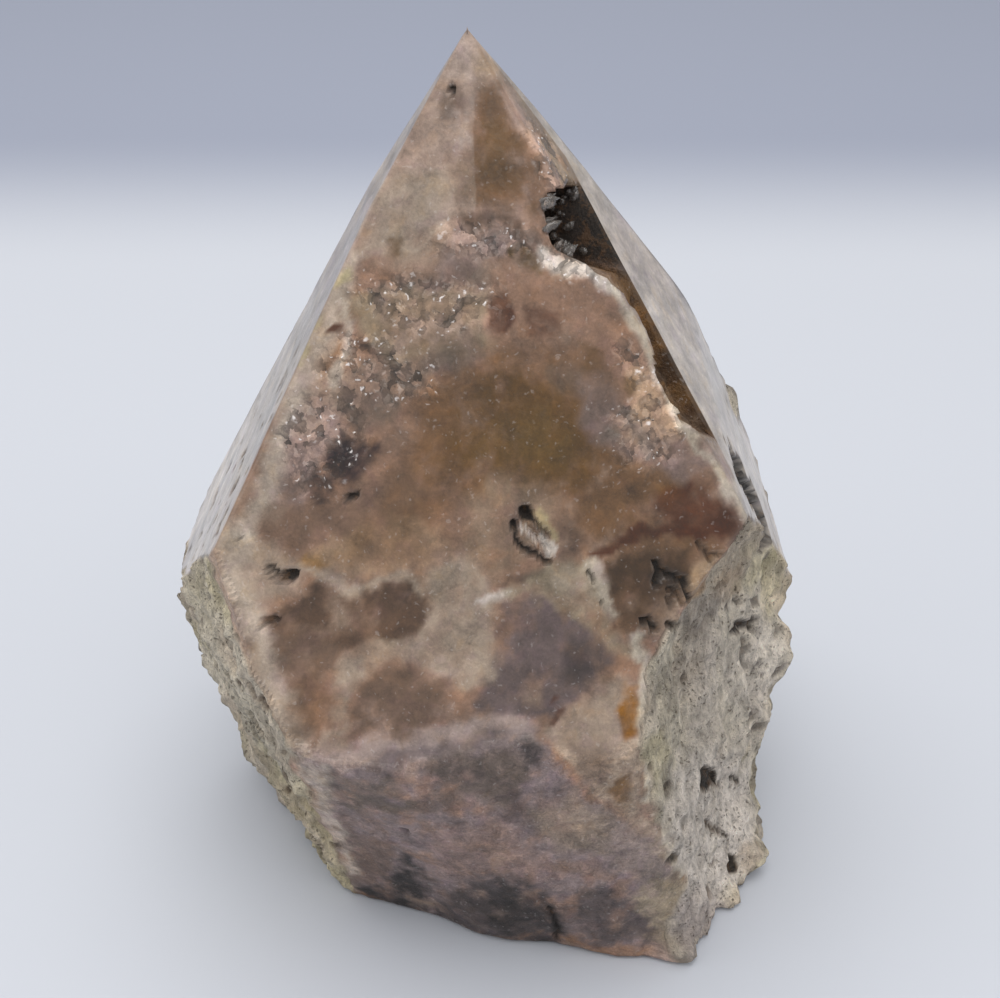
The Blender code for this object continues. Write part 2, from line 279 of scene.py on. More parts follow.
def pebbles(points, size, seed):
    """Round grains: 1 at the middle of each one, falling with distance to the nearest of the jittered points
    that stand one to a cell, down to 0."""
    scaled = points / size
    cell = np.floor(scaled).astype(np.int64)
    nearest = np.full(points.shape[:-1], 9.0)
    for step in np.ndindex(3, 3, 3):
        near = cell + np.array(step) - 1
        jitter = np.stack([lattice(near, seed + k) for k in range(3)], axis=-1) * 0.42 + 0.5
        nearest = np.minimum(nearest, np.linalg.norm(near + jitter - scaled, axis=-1))
    return np.clip(1 - nearest, 0, 1)


def smooth_step(low, high, value):
    """0 at low, 1 at high, and 3t^2 - 2t^3 between them."""
    part = np.clip((value - low) / (high - low), 0, 1)
    return part * part * (3 - 2 * part)


def soft_least(values, width):
    """The least of several arrays, rounded where two are nearly level: -width * log(sum(exp(-value / width)))
    over the arrays."""
    values = np.stack(values)
    least = values.min(axis=0)
    return least - width * np.log(np.exp((least - values) / width).sum(axis=0))


def face_radius(azimuth, facing, reach, shift):
    """Distance along a ray at azimuth to a plane that looks towards facing: its reach, less how far the ray's
    own axis has moved towards it, over the cosine of the angle between them."""
    cosine = np.cos(azimuth - math.radians(facing))
    reach = reach - shift * math.cos(math.radians(facing))
    return np.where(cosine > 0.05, reach / np.maximum(cosine, 0.05), 1000.0)


def ground_radius(azimuth, height, axis_x):
    """Distance from the stone's slanting axis to the ground faces."""
    down = TIP_HEIGHT - height
    faces = [face_radius(azimuth, facing, at_tip + growth * down, axis_x - TIP_X)
             for facing, at_tip, growth in GROUND_FACES if facing < 180]
    left = np.minimum(*(at_tip + growth * down for facing, at_tip, growth in GROUND_FACES if facing > 180))
    faces.append(face_radius(azimuth, 181.0, left, axis_x - TIP_X))
    return soft_least(faces, GROUND_CORNER)


def rough_radius(azimuth, height, axis_x):
    """Distance from the stone's slanting axis to the broken and natural faces."""
    faces = []
    for facing, profile in ROUGH_FACES:
        heights, reaches = np.array(profile[::-1]).T
        faces.append(face_radius(azimuth, facing, np.interp(height, heights, reaches), axis_x))
    return soft_least(faces, ROUGH_CORNER)


def past_front(azimuth, height):
    """How many degrees each point lies past the end of the broken front, on its own side."""
    turn = np.degrees((azimuth - math.radians(FRONT_MIDDLE) + math.pi) % (2 * math.pi) - math.pi)
    heights, lefts, rights = np.array(FRONT_ENDS).T
    ends = np.where(turn < 0, np.interp(height, heights, lefts), np.interp(height, heights, rights))
    return np.abs(turn) - ends


def bell(points, place, radii):
    """A smooth bump: (1 - q^2)^2 inside an ellipsoid, where q is the share of the way to its skin."""
    away = np.linalg.norm((points - np.array(place)) / np.array(radii), axis=-1)
    return np.clip(1 - away ** 2, 0, 1) ** 2


def rod_distance(points, start, end):
    """Distance from each point to the straight stretch from start to end."""
    start, step = np.array(start), np.array(end) - np.array(start)
    share = np.clip((points - start) @ step / (step @ step), 0, 1)
    return np.linalg.norm(points - start - share[..., None] * step, axis=-1)


def picture_places(points):
    """Where points show in the picture: 1500 pixels times how far right or up they lie, over their depth."""
    dip = math.radians(CAMERA_DIP)
    away = points - np.array(CAMERA_PLACE)
    depth = away @ np.array((0.0, math.cos(dip), -math.sin(dip)))
    scale = CAMERA_LENS / SENSOR_WIDTH * PICTURE_SIZE[0] / depth
    right = PICTURE_SIZE[0] / 2 + scale * away[..., 0]
    down = PICTURE_SIZE[1] / 2 - scale * (away @ np.array((0.0, math.sin(dip), math.cos(dip))))
    return right, down


def grid_normals(points):
    """Outward directions on the grid: the cross product of its steps around and up."""
    around = np.roll(points, -1, axis=1) - np.roll(points, 1, axis=1)
    normals = np.cross(around, np.gradient(points, axis=0))
    return normals / np.maximum(np.linalg.norm(normals, axis=-1, keepdims=True), 1e-9)


def facing_share(points, normals):
    """How squarely each point looks at the camera, from 0 where it turns away."""
    away = np.array(CAMERA_PLACE) - points
    away = away / np.linalg.norm(away, axis=-1, keepdims=True)
    return smooth_step(0.0, 0.25, (away * normals).sum(axis=-1))


def line_distance(right, down, line):
    """Distance in the picture from each place to a line of straight stretches."""
    nearest = np.full(right.shape, 1e4)
    for (across, below), (next_across, next_below) in zip(line, line[1:]):
        step = (next_across - across, next_below - below)
        share = ((right - across) * step[0] + (down - below) * step[1]) / (step[0] ** 2 + step[1] ** 2)
        share = np.clip(share, 0, 1)
        away = np.hypot(right - across - share * step[0], down - below - share * step[1])
        nearest = np.minimum(nearest, away)
    return nearest


def outline_distance(right, down, outline):
    """Distance in the picture from each place to a closed outline, less than 0 inside it. A place is inside
    where a level line from it crosses the outline an odd number of times."""
    ends = (*outline[1:], outline[0])
    inside = np.zeros(right.shape, dtype=bool)
    for (across, below), (next_across, next_below) in zip(outline, ends):
        crosses = (below > down) != (next_below > down)
        slope = (next_across - across) / (next_below - below) if next_below != below else 0.0
        inside ^= crosses & (right < across + slope * (down - below))
    return np.where(inside, -1.0, 1.0) * line_distance(right, down, (*outline, outline[0]))


def ridge_azimuth(heights, first, second):
    """Azimuth of the ridge of two ground faces at each height, from the slanting axis: the corner of the two
    lines that they make in the level plane."""
    down = TIP_HEIGHT - heights
    shift = TIP_X * heights / TIP_HEIGHT - TIP_X
    angles = [math.radians(face[0]) for face in (first, second)]
    reaches = [face[1] + face[2] * down - shift * math.cos(angle)
               for face, angle in zip((first, second), angles)]
    across = reaches[0] * math.sin(angles[1]) - reaches[1] * math.sin(angles[0])
    deep = reaches[1] * math.cos(angles[0]) - reaches[0] * math.cos(angles[1])
    side = math.sin(angles[1] - angles[0])
    return np.arctan2(deep / side, across / side)


def grid_directions():
    """Azimuths of the grid, whose columns run along the stone's ridges, and (height, spread) of its rows: out
    over the flat base, up its broken edge, and up the side to the tip."""
    base = np.linspace(0, 1, ROWS_BASE + 1)[1:] * REST_SPOT_SHARE
    side = np.linspace(0, 1, ROWS_SIDE)
    side = 0.55 + (TIP_HEIGHT - 0.9) * side ** 1.03
    heights = np.concatenate([np.zeros(ROWS_BASE), side])
    spread = np.concatenate([base, np.ones(ROWS_SIDE)])
    fronts, bevel, rights, lefts = GROUND_FACES[:3], GROUND_FACES[3], GROUND_FACES[4:6], GROUND_FACES[8:]
    left = np.min([ridge_azimuth(heights, left, front) for left in lefts for front in fronts], axis=0)
    middle = np.max([ridge_azimuth(heights, front, bevel) for front in fronts], axis=0)
    right = np.min([ridge_azimuth(heights, bevel, face) for face in rights], axis=0)
    left = np.clip(left, math.radians(-160), math.radians(-105))
    middle = np.clip(middle, math.radians(-60), math.radians(-12))
    right = np.clip(right, middle + 0.05, math.radians(3))
    ends = [np.full_like(heights, math.radians(turn)) for turn in (-186, 8, 174)]
    ridges = (ends[0], left, middle, right, ends[1], ends[2])
    shares = [np.arange(count) / count for count in COLUMNS]
    shares[2] = 1 - (1 - shares[2]) ** 1.8
    sectors = [start[:, None] + (end - start)[:, None] * share
               for start, end, share in zip(ridges, ridges[1:], shares)]
    return np.concatenate(sectors, axis=1), heights, spread


def stone_surface():
    """The stone's skin on a grid of rows and columns. Each point lies at (axis + r cos a, r sin a, z), where
    the axis slants to the tip and r is the lesser of the ground and the rough radius, less its pits. It also
    gives shares from 0 to 1 at each point: how polished it is, how much painted shade darkens it in its
    pores, hollows, crevices and scratches, how far it is rind, the groove, a side face or the right one, and
    how squarely it faces the camera."""
    azimuth, heights, spread = grid_directions()
    height = np.broadcast_to(heights[:, None], azimuth.shape)
    edge = sum(COLUMNS[:3])
    column = np.arange(azimuth.shape[1])
    before_edge = np.where(column <= edge, 1.0, 0.0)
    wall = smooth_step(0.0, WALL_COLUMNS, edge - column)
    axis_x = TIP_X * height / TIP_HEIGHT
    around = np.stack([np.cos(azimuth), np.sin(azimuth), np.zeros_like(azimuth)], axis=-1)
    axis = np.stack([axis_x, np.zeros_like(axis_x), height], axis=-1)

    past = past_front(azimuth, height)
    wild = smooth_step(*FRONT_FADE, past)
    rough = rough_radius(azimuth, height, axis_x)
    smooth = axis + around * rough[..., None]
    relief = (BROAD_WAVE_ON_FRONT + (1 - BROAD_WAVE_ON_FRONT) * wild) * fractal(smooth, BROAD_WAVE, 3)
    for place, radius, rise in LUMPS:
        relief += rise * bell(smooth, place, (radius, radius, radius))
    rough = rough + relief
    ground = ground_radius(azimuth, height, axis_x)
    knob = bell(axis + around * ground[..., None], KNOB[0], KNOB[1]) * KNOB[2]

    edge_noise = 0.5 * fractal(smooth, FACE_EDGE_WAVE, 21)
    polish = smooth_step(-0.1, 0.5, rough - ground + edge_noise) * (1 - smooth_step(0.1, 0.4, knob))
    radius = np.minimum(rough, ground) + knob
    points = axis + around * radius[..., None]

    crag = (1 - polish) * smooth_step(-1.4, 1.6, past + 2.2 * fractal(points, RIND_EDGE_WAVE, 25))
    pitted = pebbles(points, PEBBLE_SIZE, 31) ** 2
    crumbs = pebbles(points, CRUMB_SIZE, 35)
    pores = value_noise(points, PORE_SIZE, 41) + 0.35 * value_noise(points, PORE_SIZE / 2, 44)
    pores = smooth_step(0.66, 0.9, pores)
    ripple = fractal(points * np.array((1.0, 1.0, 0.5)), RIPPLE_SIZE, 47)
    rise = RIND_RELIEF["pebbles"] * pitted + RIND_RELIEF["crumbs"] * crumbs + RIND_RELIEF["ripples"] * ripple
    radius = radius + crag * (rise - RIND_RELIEF["sunk"] - RIND_RELIEF["pores"] * pores)
    sugar = (1 - polish) * (1 - wild)
    rise = SUGAR_RELIEF["crumbs"] * crumbs + SUGAR_RELIEF["waves"] * fractal(points, SUGAR_SIZE, 51)
    radius = radius + sugar * (rise - SUGAR_RELIEF["sunk"])
    radius = radius - polish * GROUND_RELIEF * (1 + value_noise(points, 4.0, 55))

    # Painted shade in the rind's pores; the hollows, crevices, large hollow and scratches below add theirs.
    dark = crag * pores * 0.7
    warp = np.stack([fractal(points, RAGGED_WAVE, seed, gain=0.6) for seed in (61, 65, 69)], axis=-1)
    warped = points + HOLLOW_RAGGEDNESS * warp
    behind_edge = np.where(column > edge + 1, 1.0, 0.0)
    for start, end, width, depth in HOLLOWS:
        away = rod_distance(warped, start, end) / width
        inside = np.clip(1 - away ** 2, 0, 1) * behind_edge
        radius = radius - depth * np.sqrt(inside) * (0.85 + 0.3 * crumbs)
        # Painted shade inside each hollow.
        dark = np.maximum(dark, smooth_step(1.22, 0.96, away) * behind_edge)

    right, down = picture_places(points)
    right, down = right + CREVICE_RAGGEDNESS * warp[..., 0], down + CREVICE_RAGGEDNESS * warp[..., 1]
    facing = facing_share(points, grid_normals(points))
    seen = np.where(facing > 0.02, 1.0, 0.0)
    sunk = np.zeros_like(radius)
    for half_width, crevice_shade, line in CREVICES:
        inside = (half_width - line_distance(right, down, line)) * seen
        sunk = np.maximum(sunk, CREVICE_DEPTH * half_width * facing * smooth_step(-1.5, half_width, inside))
        # Painted shade in each crevice.
        dark = np.maximum(dark, crevice_shade * smooth_step(-1.2, 1.4, inside))
    inside = -outline_distance(right, down, EDGE_HOLLOW) * seen * before_edge
    bowl = EDGE_HOLLOW_DEPTH * wall * smooth_step(-1.0, 14.0, inside) ** 0.5
    sunk = np.maximum(sunk, bowl * (0.85 + 0.4 * crumbs))
    # Painted shade in the large hollow at the edge, fading out towards its lower rim.
    dark = np.maximum(dark, smooth_step(-1.0, 4.0, inside) * smooth_step(285.0, 262.0, down))
    levels, fronts, depths = np.array(GROOVE, dtype=float).T
    deep = np.interp(down, levels, depths, left=0.0, right=0.0)
    trough = smooth_step(-1.5, 3.0, right - np.interp(down, levels, fronts)) * seen * before_edge
    trough = trough * smooth_step(0.0, 0.8, deep)
    sunk = np.maximum(sunk, deep * wall * trough * (0.8 + 0.4 * crumbs))
    radius = radius - np.minimum(sunk, 0.75 * radius)
    polish = polish * (1 - smooth_step(0.0, 0.5, sunk))

    faces = np.where((column < COLUMNS[0] - 1) | (column > edge + 1), 1.0, 0.0) * polish
    low = smooth_step(70.0, 52.0, points[..., 2]) * np.where(column < edge, 1.0, 0.45)
    marks = value_noise(points, SCRATCH_SIZE, 81) + 0.4 * value_noise(points, SCRATCH_SIZE / 2, 83)
    marks = faces * low * smooth_step(0.66, 0.82, marks + 0.5 * value_noise(points, 9.0, 85))
    radius = radius - SCRATCH_DEPTH * marks
    # Painted shade in the scratches.
    dark = np.maximum(dark, 0.7 * marks)

    radius = np.maximum(radius, 0.02) * spread[:, None]
    points = axis + around * radius[..., None]
    skin = crag * (1 - 0.75 * np.clip(dark, 0, 1)) * (1 - trough)
    side = np.maximum(smooth_step(COLUMNS[0] + 4, COLUMNS[0] - 2, column), np.where(column > edge, 1.0, 0.0))
    on_right = np.where(column > edge, 1.0, 0.0)
    return points, {"polish": polish, "dark": np.clip(dark, 0, 1), "skin": skin, "trough": trough,
                    "facing": facing, "side": np.broadcast_to(side, radius.shape),
                    "right": np.broadcast_to(on_right, radius.shape)}


# Colours, as sRGB from 0 to 255, before the light acts on them
PALETTE = {
    "bone": (206, 192, 176),
    "blush": (234, 208, 194),
    "cream": (180, 162, 144),
    "milk": (154, 140, 118),
    "pale lilac": (180, 162, 156),
    "lilac": (132, 118, 118),
    "rose": (157, 122, 100),
    "light rose": (194, 164, 148),
    "tan": (184, 156, 126),
    "umber": (106, 73, 27),
    "umber rose": (122, 88, 56),
    "dark rose": (90, 66, 48),
    "mauve": (110, 87, 71),
    "smoke": (108, 94, 84),
    "plum": (50, 32, 33),
    "slate violet": (108, 92, 90),
    "slate": (30, 25, 23),
    "grey green": (156, 138, 114),
    "olive": (104, 76, 26),
    "ochre": (156, 116, 56),
    "amber": (148, 96, 8),
    "rust": (82, 36, 0),
    "bark": (72, 48, 22),
    # Near-black of the painted shade deep in pits, crevices and hollows; also one small dark spot among the
    # zones
    "peat": (16, 10, 6),
    "snow": (232, 222, 212),
    "rind": (206, 196, 178),
    "chalk": (222, 212, 194),
    "moss": (190, 178, 136),
    "face lilac": (188, 182, 178),
    # Painted highlight: the white of the glints
    "glint": (250, 245, 244),
    # Painted shade in the rind's pores
    "shaded_pore": (84, 70, 50),
}

# Zones of colour on the side that the camera sees, painted in this order: colour, strength, width of the soft
# edge in the picture's pixels, and outline in the picture.
ZONES = (
    ("rose", 0.9, 20, ((440, 40), (500, 60), (620, 290), (700, 430), (740, 540), (640, 640), (640, 960),
        (330, 880), (250, 640), (200, 560), (380, 170))),
    # The tip's blush is its pale stone, brightened further into a painted highlight.
    ("blush", 0.85, 14, ((466, 22), (444, 62), (438, 84), (470, 86), (503, 76), (484, 45))),
    ("light rose", 0.8, 14, ((438, 84), (470, 86), (472, 140), (440, 168), (395, 172), (412, 128))),
    ("pale lilac", 0.8, 8, ((448, 108), (472, 96), (473, 140), (450, 144))),
    ("umber rose", 0.9, 14, ((474, 84), (498, 88), (518, 130), (538, 165), (544, 205), (535, 240),
        (520, 205), (480, 207), (455, 200), (452, 172), (474, 140))),
    ("umber", 0.8, 16, ((482, 120), (500, 125), (518, 150), (512, 185), (480, 180), (470, 155))),
    ("cream", 0.8, 18, ((395, 170), (440, 166), (455, 200), (452, 230), (438, 256), (400, 266), (368, 252),
        (375, 215))),
    ("light rose", 0.5, 12, ((440, 200), (500, 200), (530, 215), (545, 250), (500, 262), (440, 262))),
    ("bone", 0.24, 1.5, ((466, 20), (473, 20), (474, 130), (475, 212), (455, 216), (420, 250), (352, 262),
        (330, 250))),
    ("grey green", 0.7, 6, ((496, 66), (540, 112), (580, 170), (590, 190), (562, 186), (536, 146),
        (512, 100))),
    ("dark rose", 0.85, 6, ((460, 214), (480, 208), (505, 213), (524, 222), (524, 240), (506, 232),
        (490, 223), (472, 232), (462, 232))),
    ("lilac", 0.6, 10, ((452, 236), (500, 229), (512, 246), (500, 262), (470, 264), (440, 272),
        (426, 264))),
    ("smoke", 0.8, 9, ((378, 288), (400, 270), (436, 268), (470, 256), (482, 272), (452, 287), (410, 300))),
    ("rose", 0.95, 10, ((486, 292), (500, 264), (545, 272), (582, 290), (612, 306), (640, 336), (640, 362),
        (600, 346), (540, 340), (510, 334))),
    ("grey green", 0.85, 10, ((352, 292), (400, 288), (445, 286), (482, 290), (480, 330), (500, 346),
        (470, 354), (420, 348), (396, 362), (368, 346), (356, 322))),
    ("mauve", 0.6, 14, ((380, 296), (440, 290), (476, 300), (470, 340), (420, 344), (384, 336))),
    ("umber rose", 0.95, 22, ((418, 412), (434, 374), (480, 350), (540, 345), (592, 352), (640, 430),
        (720, 490), (724, 530), (600, 560), (560, 500), (520, 490), (450, 500), (400, 548), (316, 562),
        (384, 500), (404, 450))),
    ("umber", 1.0, 18, ((450, 412), (480, 384), (520, 376), (562, 386), (590, 425), (600, 465), (570, 500),
        (520, 484), (490, 468), (440, 462))),
    ("olive", 0.75, 20, ((480, 420), (540, 412), (572, 440), (560, 478), (500, 470), (470, 450))),
    ("smoke", 0.8, 12, ((332, 384), (350, 362), (388, 354), (424, 346), (470, 342), (502, 350), (472, 364),
        (432, 374), (412, 400), (392, 424), (356, 434), (336, 420))),
    ("lilac", 0.6, 12, ((282, 396), (304, 384), (332, 400), (336, 440), (324, 468), (304, 504), (268, 500),
        (256, 476), (266, 440))),
    ("mauve", 0.55, 16, ((252, 500), (268, 488), (300, 500), (344, 498), (404, 470), (428, 496), (400, 522),
        (336, 530), (300, 548), (262, 540))),
    ("plum", 0.95, 7, ((334, 440), (356, 440), (374, 443), (379, 452), (368, 464), (352, 482), (338, 480),
        (328, 464))),
    ("plum", 0.75, 6, ((308, 482), (322, 470), (342, 480), (346, 490), (326, 502), (312, 494))),
    ("tan", 0.6, 12, ((304, 556), (336, 534), (392, 520), (436, 528), (442, 552), (412, 576), (380, 573),
        (350, 582), (326, 572))),
    ("umber rose", 0.6, 14, ((350, 536), (392, 520), (420, 530), (424, 556), (390, 566), (352, 560))),
    ("milk", 0.42, 18, ((468, 496), (500, 480), (532, 488), (554, 508), (552, 540), (522, 560), (496, 582),
        (462, 604), (428, 604), (412, 582), (440, 558), (460, 530))),
    ("slate", 0.4, 10, ((552, 518), (576, 514), (582, 545), (566, 562), (552, 556))),
    ("umber", 0.55, 8, ((604, 562), (640, 546), (700, 532), (728, 545), (722, 572), (700, 602), (680, 616),
        (656, 622), (640, 642), (616, 622), (610, 590))),
    ("bark", 0.9, 12, ((604, 564), (640, 550), (690, 544), (694, 574), (666, 600), (650, 622), (618, 618))),
    ("rust", 1.0, 9, ((656, 490), (700, 480), (730, 506), (736, 534), (706, 540), (676, 530), (654, 512))),
    ("ochre", 0.5, 8, ((660, 486), (676, 484), (680, 502), (666, 506))),
    ("tan", 0.85, 6, ((692, 562), (722, 550), (734, 562), (716, 590), (696, 606), (682, 602))),
    ("milk", 0.85, 10, ((526, 580), (545, 562), (586, 558), (604, 590), (618, 620), (634, 655), (616, 660),
        (590, 640), (560, 616), (530, 604))),
    ("bone", 0.3, 10, ((540, 574), (580, 566), (596, 592), (604, 614), (572, 606))),
    ("slate violet", 0.95, 7, ((500, 602), (530, 586), (560, 612), (592, 634), (614, 656), (608, 682),
        (590, 702), (560, 714), (530, 722), (488, 716), (480, 700), (490, 660), (498, 625))),
    ("slate", 0.45, 12, ((570, 640), (604, 650), (608, 672), (590, 688), (570, 670))),
    ("cream", 0.85, 10, ((336, 664), (370, 640), (412, 630), (432, 602), (432, 572), (452, 552), (484, 572),
        (492, 602), (496, 640), (490, 682), (470, 692), (440, 677), (420, 662), (390, 657), (352, 682),
        (328, 716), (318, 744), (350, 744), (330, 700))),
    ("cream", 0.75, 14, ((222, 520), (262, 545), (300, 566), (298, 592), (262, 606), (260, 640), (280, 690),
        (298, 742), (270, 730), (240, 650), (200, 560))),
    ("dark rose", 0.9, 6, ((300, 600), (318, 585), (345, 593), (366, 593), (385, 584), (410, 588),
        (426, 602), (426, 620), (400, 634), (368, 642), (345, 652), (320, 656), (290, 650), (262, 640),
        (270, 620), (286, 610))),
    ("mauve", 0.8, 9, ((262, 640), (300, 636), (345, 650), (322, 682), (302, 712), (286, 702), (282, 680),
        (268, 660))),
    ("umber rose", 0.6, 9, ((284, 686), (312, 676), (326, 700), (312, 736), (292, 742), (284, 716))),
    ("olive", 0.3, 12, ((360, 640), (392, 636), (400, 650), (370, 656))),
    ("mauve", 0.9, 11, ((358, 682), (390, 665), (420, 672), (452, 690), (442, 720), (400, 737), (360, 742),
        (344, 722))),
    ("cream", 0.8, 9, ((556, 718), (600, 702), (618, 680), (636, 690), (640, 740), (652, 790), (642, 822),
        (600, 792), (566, 764), (544, 742))),
    ("mauve", 0.6, 12, ((566, 738), (600, 740), (616, 762), (600, 786), (572, 770))),
    ("amber", 0.95, 5, ((620, 688), (632, 687), (639, 708), (639, 735), (626, 747), (618, 722))),
    ("umber", 0.85, 9, ((620, 782), (634, 782), (638, 800), (626, 804), (618, 796))),
    ("lilac", 0.9, 7, ((300, 760), (360, 757), (414, 740), (471, 728), (528, 730), (560, 780), (640, 830),
        (672, 870), (640, 948), (560, 944), (480, 938), (420, 912), (350, 892), (336, 850))),
    ("smoke", 0.85, 6, ((314, 766), (345, 770), (390, 784), (422, 804), (400, 813), (350, 806),
        (320, 796))),
    ("smoke", 0.8, 10, ((428, 764), (470, 744), (512, 744), (526, 770), (512, 802), (480, 802),
        (448, 790))),
    ("slate", 0.35, 10, ((440, 772), (480, 760), (512, 768), (500, 794), (456, 788))),
    ("mauve", 0.6, 12, ((340, 820), (372, 826), (396, 850), (388, 872), (350, 880), (340, 850))),
    ("rose", 0.3, 16, ((420, 830), (500, 820), (560, 880), (520, 880), (440, 870))),
    ("grey green", 0.5, 14, ((530, 806), (574, 800), (616, 822), (606, 852), (560, 850))),
    ("cream", 0.25, 14, ((600, 800), (642, 812), (662, 850), (692, 870), (680, 892), (640, 876),
        (600, 850))),
    ("slate", 0.92, 10, ((360, 886), (390, 868), (406, 856), (432, 884), (434, 912), (396, 912),
        (366, 900))),
    ("slate", 0.72, 12, ((458, 886), (476, 874), (500, 884), (530, 878), (552, 896), (568, 922), (562, 944),
        (500, 944), (470, 928), (440, 916), (446, 900))),
    ("slate", 0.6, 6, ((494, 896), (512, 886), (538, 896), (556, 916), (556, 940), (528, 930), (508, 936))),
    ("slate", 0.55, 10, ((566, 905), (590, 894), (622, 889), (642, 905), (648, 938), (610, 948),
        (570, 938))),
    ("milk", 0.85, 7, ((640, 880), (682, 874), (692, 900), (692, 942), (676, 962), (650, 948), (640, 912))),
    ("tan", 0.55, 8, ((622, 372), (650, 358), (664, 382), (690, 420), (702, 442), (664, 442), (636, 420))),
    ("lilac", 0.55, 12, ((578, 382), (600, 374), (634, 420), (690, 442), (712, 462), (690, 482), (640, 462),
        (600, 452), (574, 420))),
    ("rust", 0.7, 5, ((484, 302), (498, 294), (511, 304), (516, 330), (502, 337), (487, 330))),
    ("rust", 0.8, 6, ((503, 306), (513, 308), (517, 330), (507, 333))),
    ("rust", 0.6, 6, ((530, 304), (556, 304), (562, 326), (542, 333), (527, 326))),
    ("umber", 0.6, 6, ((578, 343), (602, 350), (602, 366), (582, 376))),
    ("smoke", 0.5, 10, ((546, 366), (580, 370), (584, 392), (552, 388))),
    ("olive", 0.95, 5, ((504, 250), (520, 246), (542, 254), (547, 268), (520, 267), (508, 262))),
    ("peat", 0.75, 4, ((346, 342), (358, 340), (369, 344), (367, 352), (347, 353))),
    ("umber", 0.7, 5, ((338, 306), (354, 306), (352, 322), (340, 322))),
    ("umber rose", 0.8, 4, ((322, 342), (338, 341), (338, 358), (328, 370), (318, 366))),
    ("umber", 0.8, 6, ((380, 240), (394, 238), (398, 256), (388, 261))),
    ("rust", 0.9, 4, ((372, 176), (377, 182), (364, 214), (356, 216))),
)

# Zones of colour on the rind, painted in the same way.
RIND_ZONES = (
    ("snow", 0.6, 24, ((690, 600), (750, 580), (790, 640), (780, 780), (740, 800), (690, 740))),
    ("snow", 1.0, 20, ((664, 770), (700, 752), (752, 770), (764, 840), (730, 900), (690, 940), (664, 920))),
    ("moss", 0.4, 20, ((752, 545), (778, 552), (784, 585), (762, 580))),
    ("moss", 0.35, 24, ((182, 560), (200, 560), (212, 610), (196, 620))),
    ("tan", 0.5, 12, ((712, 570), (738, 560), (744, 600), (716, 600))),
    ("moss", 0.45, 22, ((296, 780), (330, 790), (356, 880), (330, 880), (300, 830))),
    ("cream", 0.7, 8, ((740, 845), (762, 846), (760, 872), (738, 870))),
    ("lilac", 0.6, 18, ((664, 900), (720, 890), (716, 930), (676, 962))),
    ("smoke", 0.5, 10, ((690, 590), (716, 600), (700, 650), (684, 640))),
)

# Strokes of colour: colour, strength, half width and soft edge in the picture's pixels, and their line.
STROKES = (
    # A painted highlight down the tip.
    ("blush", 0.6, 7, 9, ((468, 38), (467, 60))),
    ("rust", 0.75, 11, 10, ((672, 500), (700, 507), (722, 522))),
    ("light rose", 0.7, 4, 6, ((505, 92), (516, 115), (530, 140), (545, 165), (554, 186))),
    ("snow", 0.8, 5, 7, ((548, 254), (562, 266), (580, 273), (600, 284), (616, 292))),
    ("chalk", 0.7, 3, 6, ((612, 288), (632, 312), (648, 340), (660, 378), (684, 420), (704, 444),
        (732, 490), (746, 520))),
    ("bone", 0.7, 6, 14, ((356, 262), (345, 286), (325, 330), (300, 380), (284, 420), (265, 470),
        (250, 510), (236, 540))),
    ("moss", 0.8, 4, 6, ((352, 272), (328, 288), (309, 324), (296, 360))),
    ("bone", 0.7, 3, 5, ((334, 384), (345, 340), (350, 300))),
    ("cream", 0.85, 3, 5, ((300, 566), (320, 577), (345, 587), (366, 588), (385, 578), (405, 582),
        (422, 596))),
    ("ochre", 0.7, 4, 7, ((306, 558), (322, 566))),
    ("rust", 0.95, 4, 5, ((592, 553), (611, 546), (640, 531), (662, 525), (700, 530))),
    ("chalk", 0.6, 5, 6, ((590, 562), (600, 580), (610, 602), (616, 616))),
    ("rust", 0.6, 2, 3, ((612, 616), (622, 626))),
    ("chalk", 0.8, 5, 6, ((641, 636), (638, 680), (645, 742), (656, 782), (668, 832), (684, 868))),
    ("bone", 0.55, 8, 12, ((238, 540), (242, 590), (262, 645), (280, 684), (286, 720), (300, 752),
        (332, 822), (346, 882))),
    # A painted highlight: the pale line along the bend across the lower front.
    ("pale lilac", 0.8, 5, 9, ((306, 752), (359, 753), (400, 742), (440, 733), (471, 724), (500, 722),
        (532, 732))),
    ("smoke", 0.5, 3, 4, ((400, 800), (430, 806), (460, 802))),
    ("slate", 0.7, 6, 6, ((526, 748), (528, 757))),
    ("plum", 0.45, 7, 9, ((512, 790), (513, 820))),
    ("rust", 0.8, 2, 3, ((552, 694), (554, 699))),
    ("rust", 0.8, 2, 3, ((557, 714), (554, 724))),
    ("snow", 0.75, 2, 3, ((476, 602), (496, 597), (508, 594))),
    ("milk", 0.7, 3, 5, ((508, 594), (530, 582), (548, 566))),
    ("slate", 0.5, 2, 4, ((500, 588), (516, 580), (534, 574))),
    ("moss", 0.6, 3, 4, ((534, 516), (544, 528), (552, 541))),
    ("snow", 0.9, 4, 3, ((522, 532), (536, 541), (547, 552))),
    ("cream", 0.7, 3, 6, ((478, 640), (486, 680))),
    ("smoke", 0.85, 6, 5, ((606, 437), (612, 436))),
    ("smoke", 0.75, 7, 6, ((644, 440), (648, 450))),
    ("smoke", 0.8, 6, 5, ((624, 414), (630, 415))),
    ("olive", 0.6, 4, 5, ((625, 380), (627, 388))),
    ("dark rose", 0.6, 5, 6, ((452, 97), (458, 101))),
    ("dark rose", 0.5, 6, 6, ((444, 107), (448, 109))),
    ("tan", 0.8, 8, 10, ((478, 66), (488, 68))),
    ("rust", 0.95, 4, 3, ((329, 327), (334, 328))),
    ("dark rose", 0.5, 3, 4, ((296, 738), (306, 732))),
    ("amber", 0.6, 3, 4, ((692, 880), (690, 896))),
)

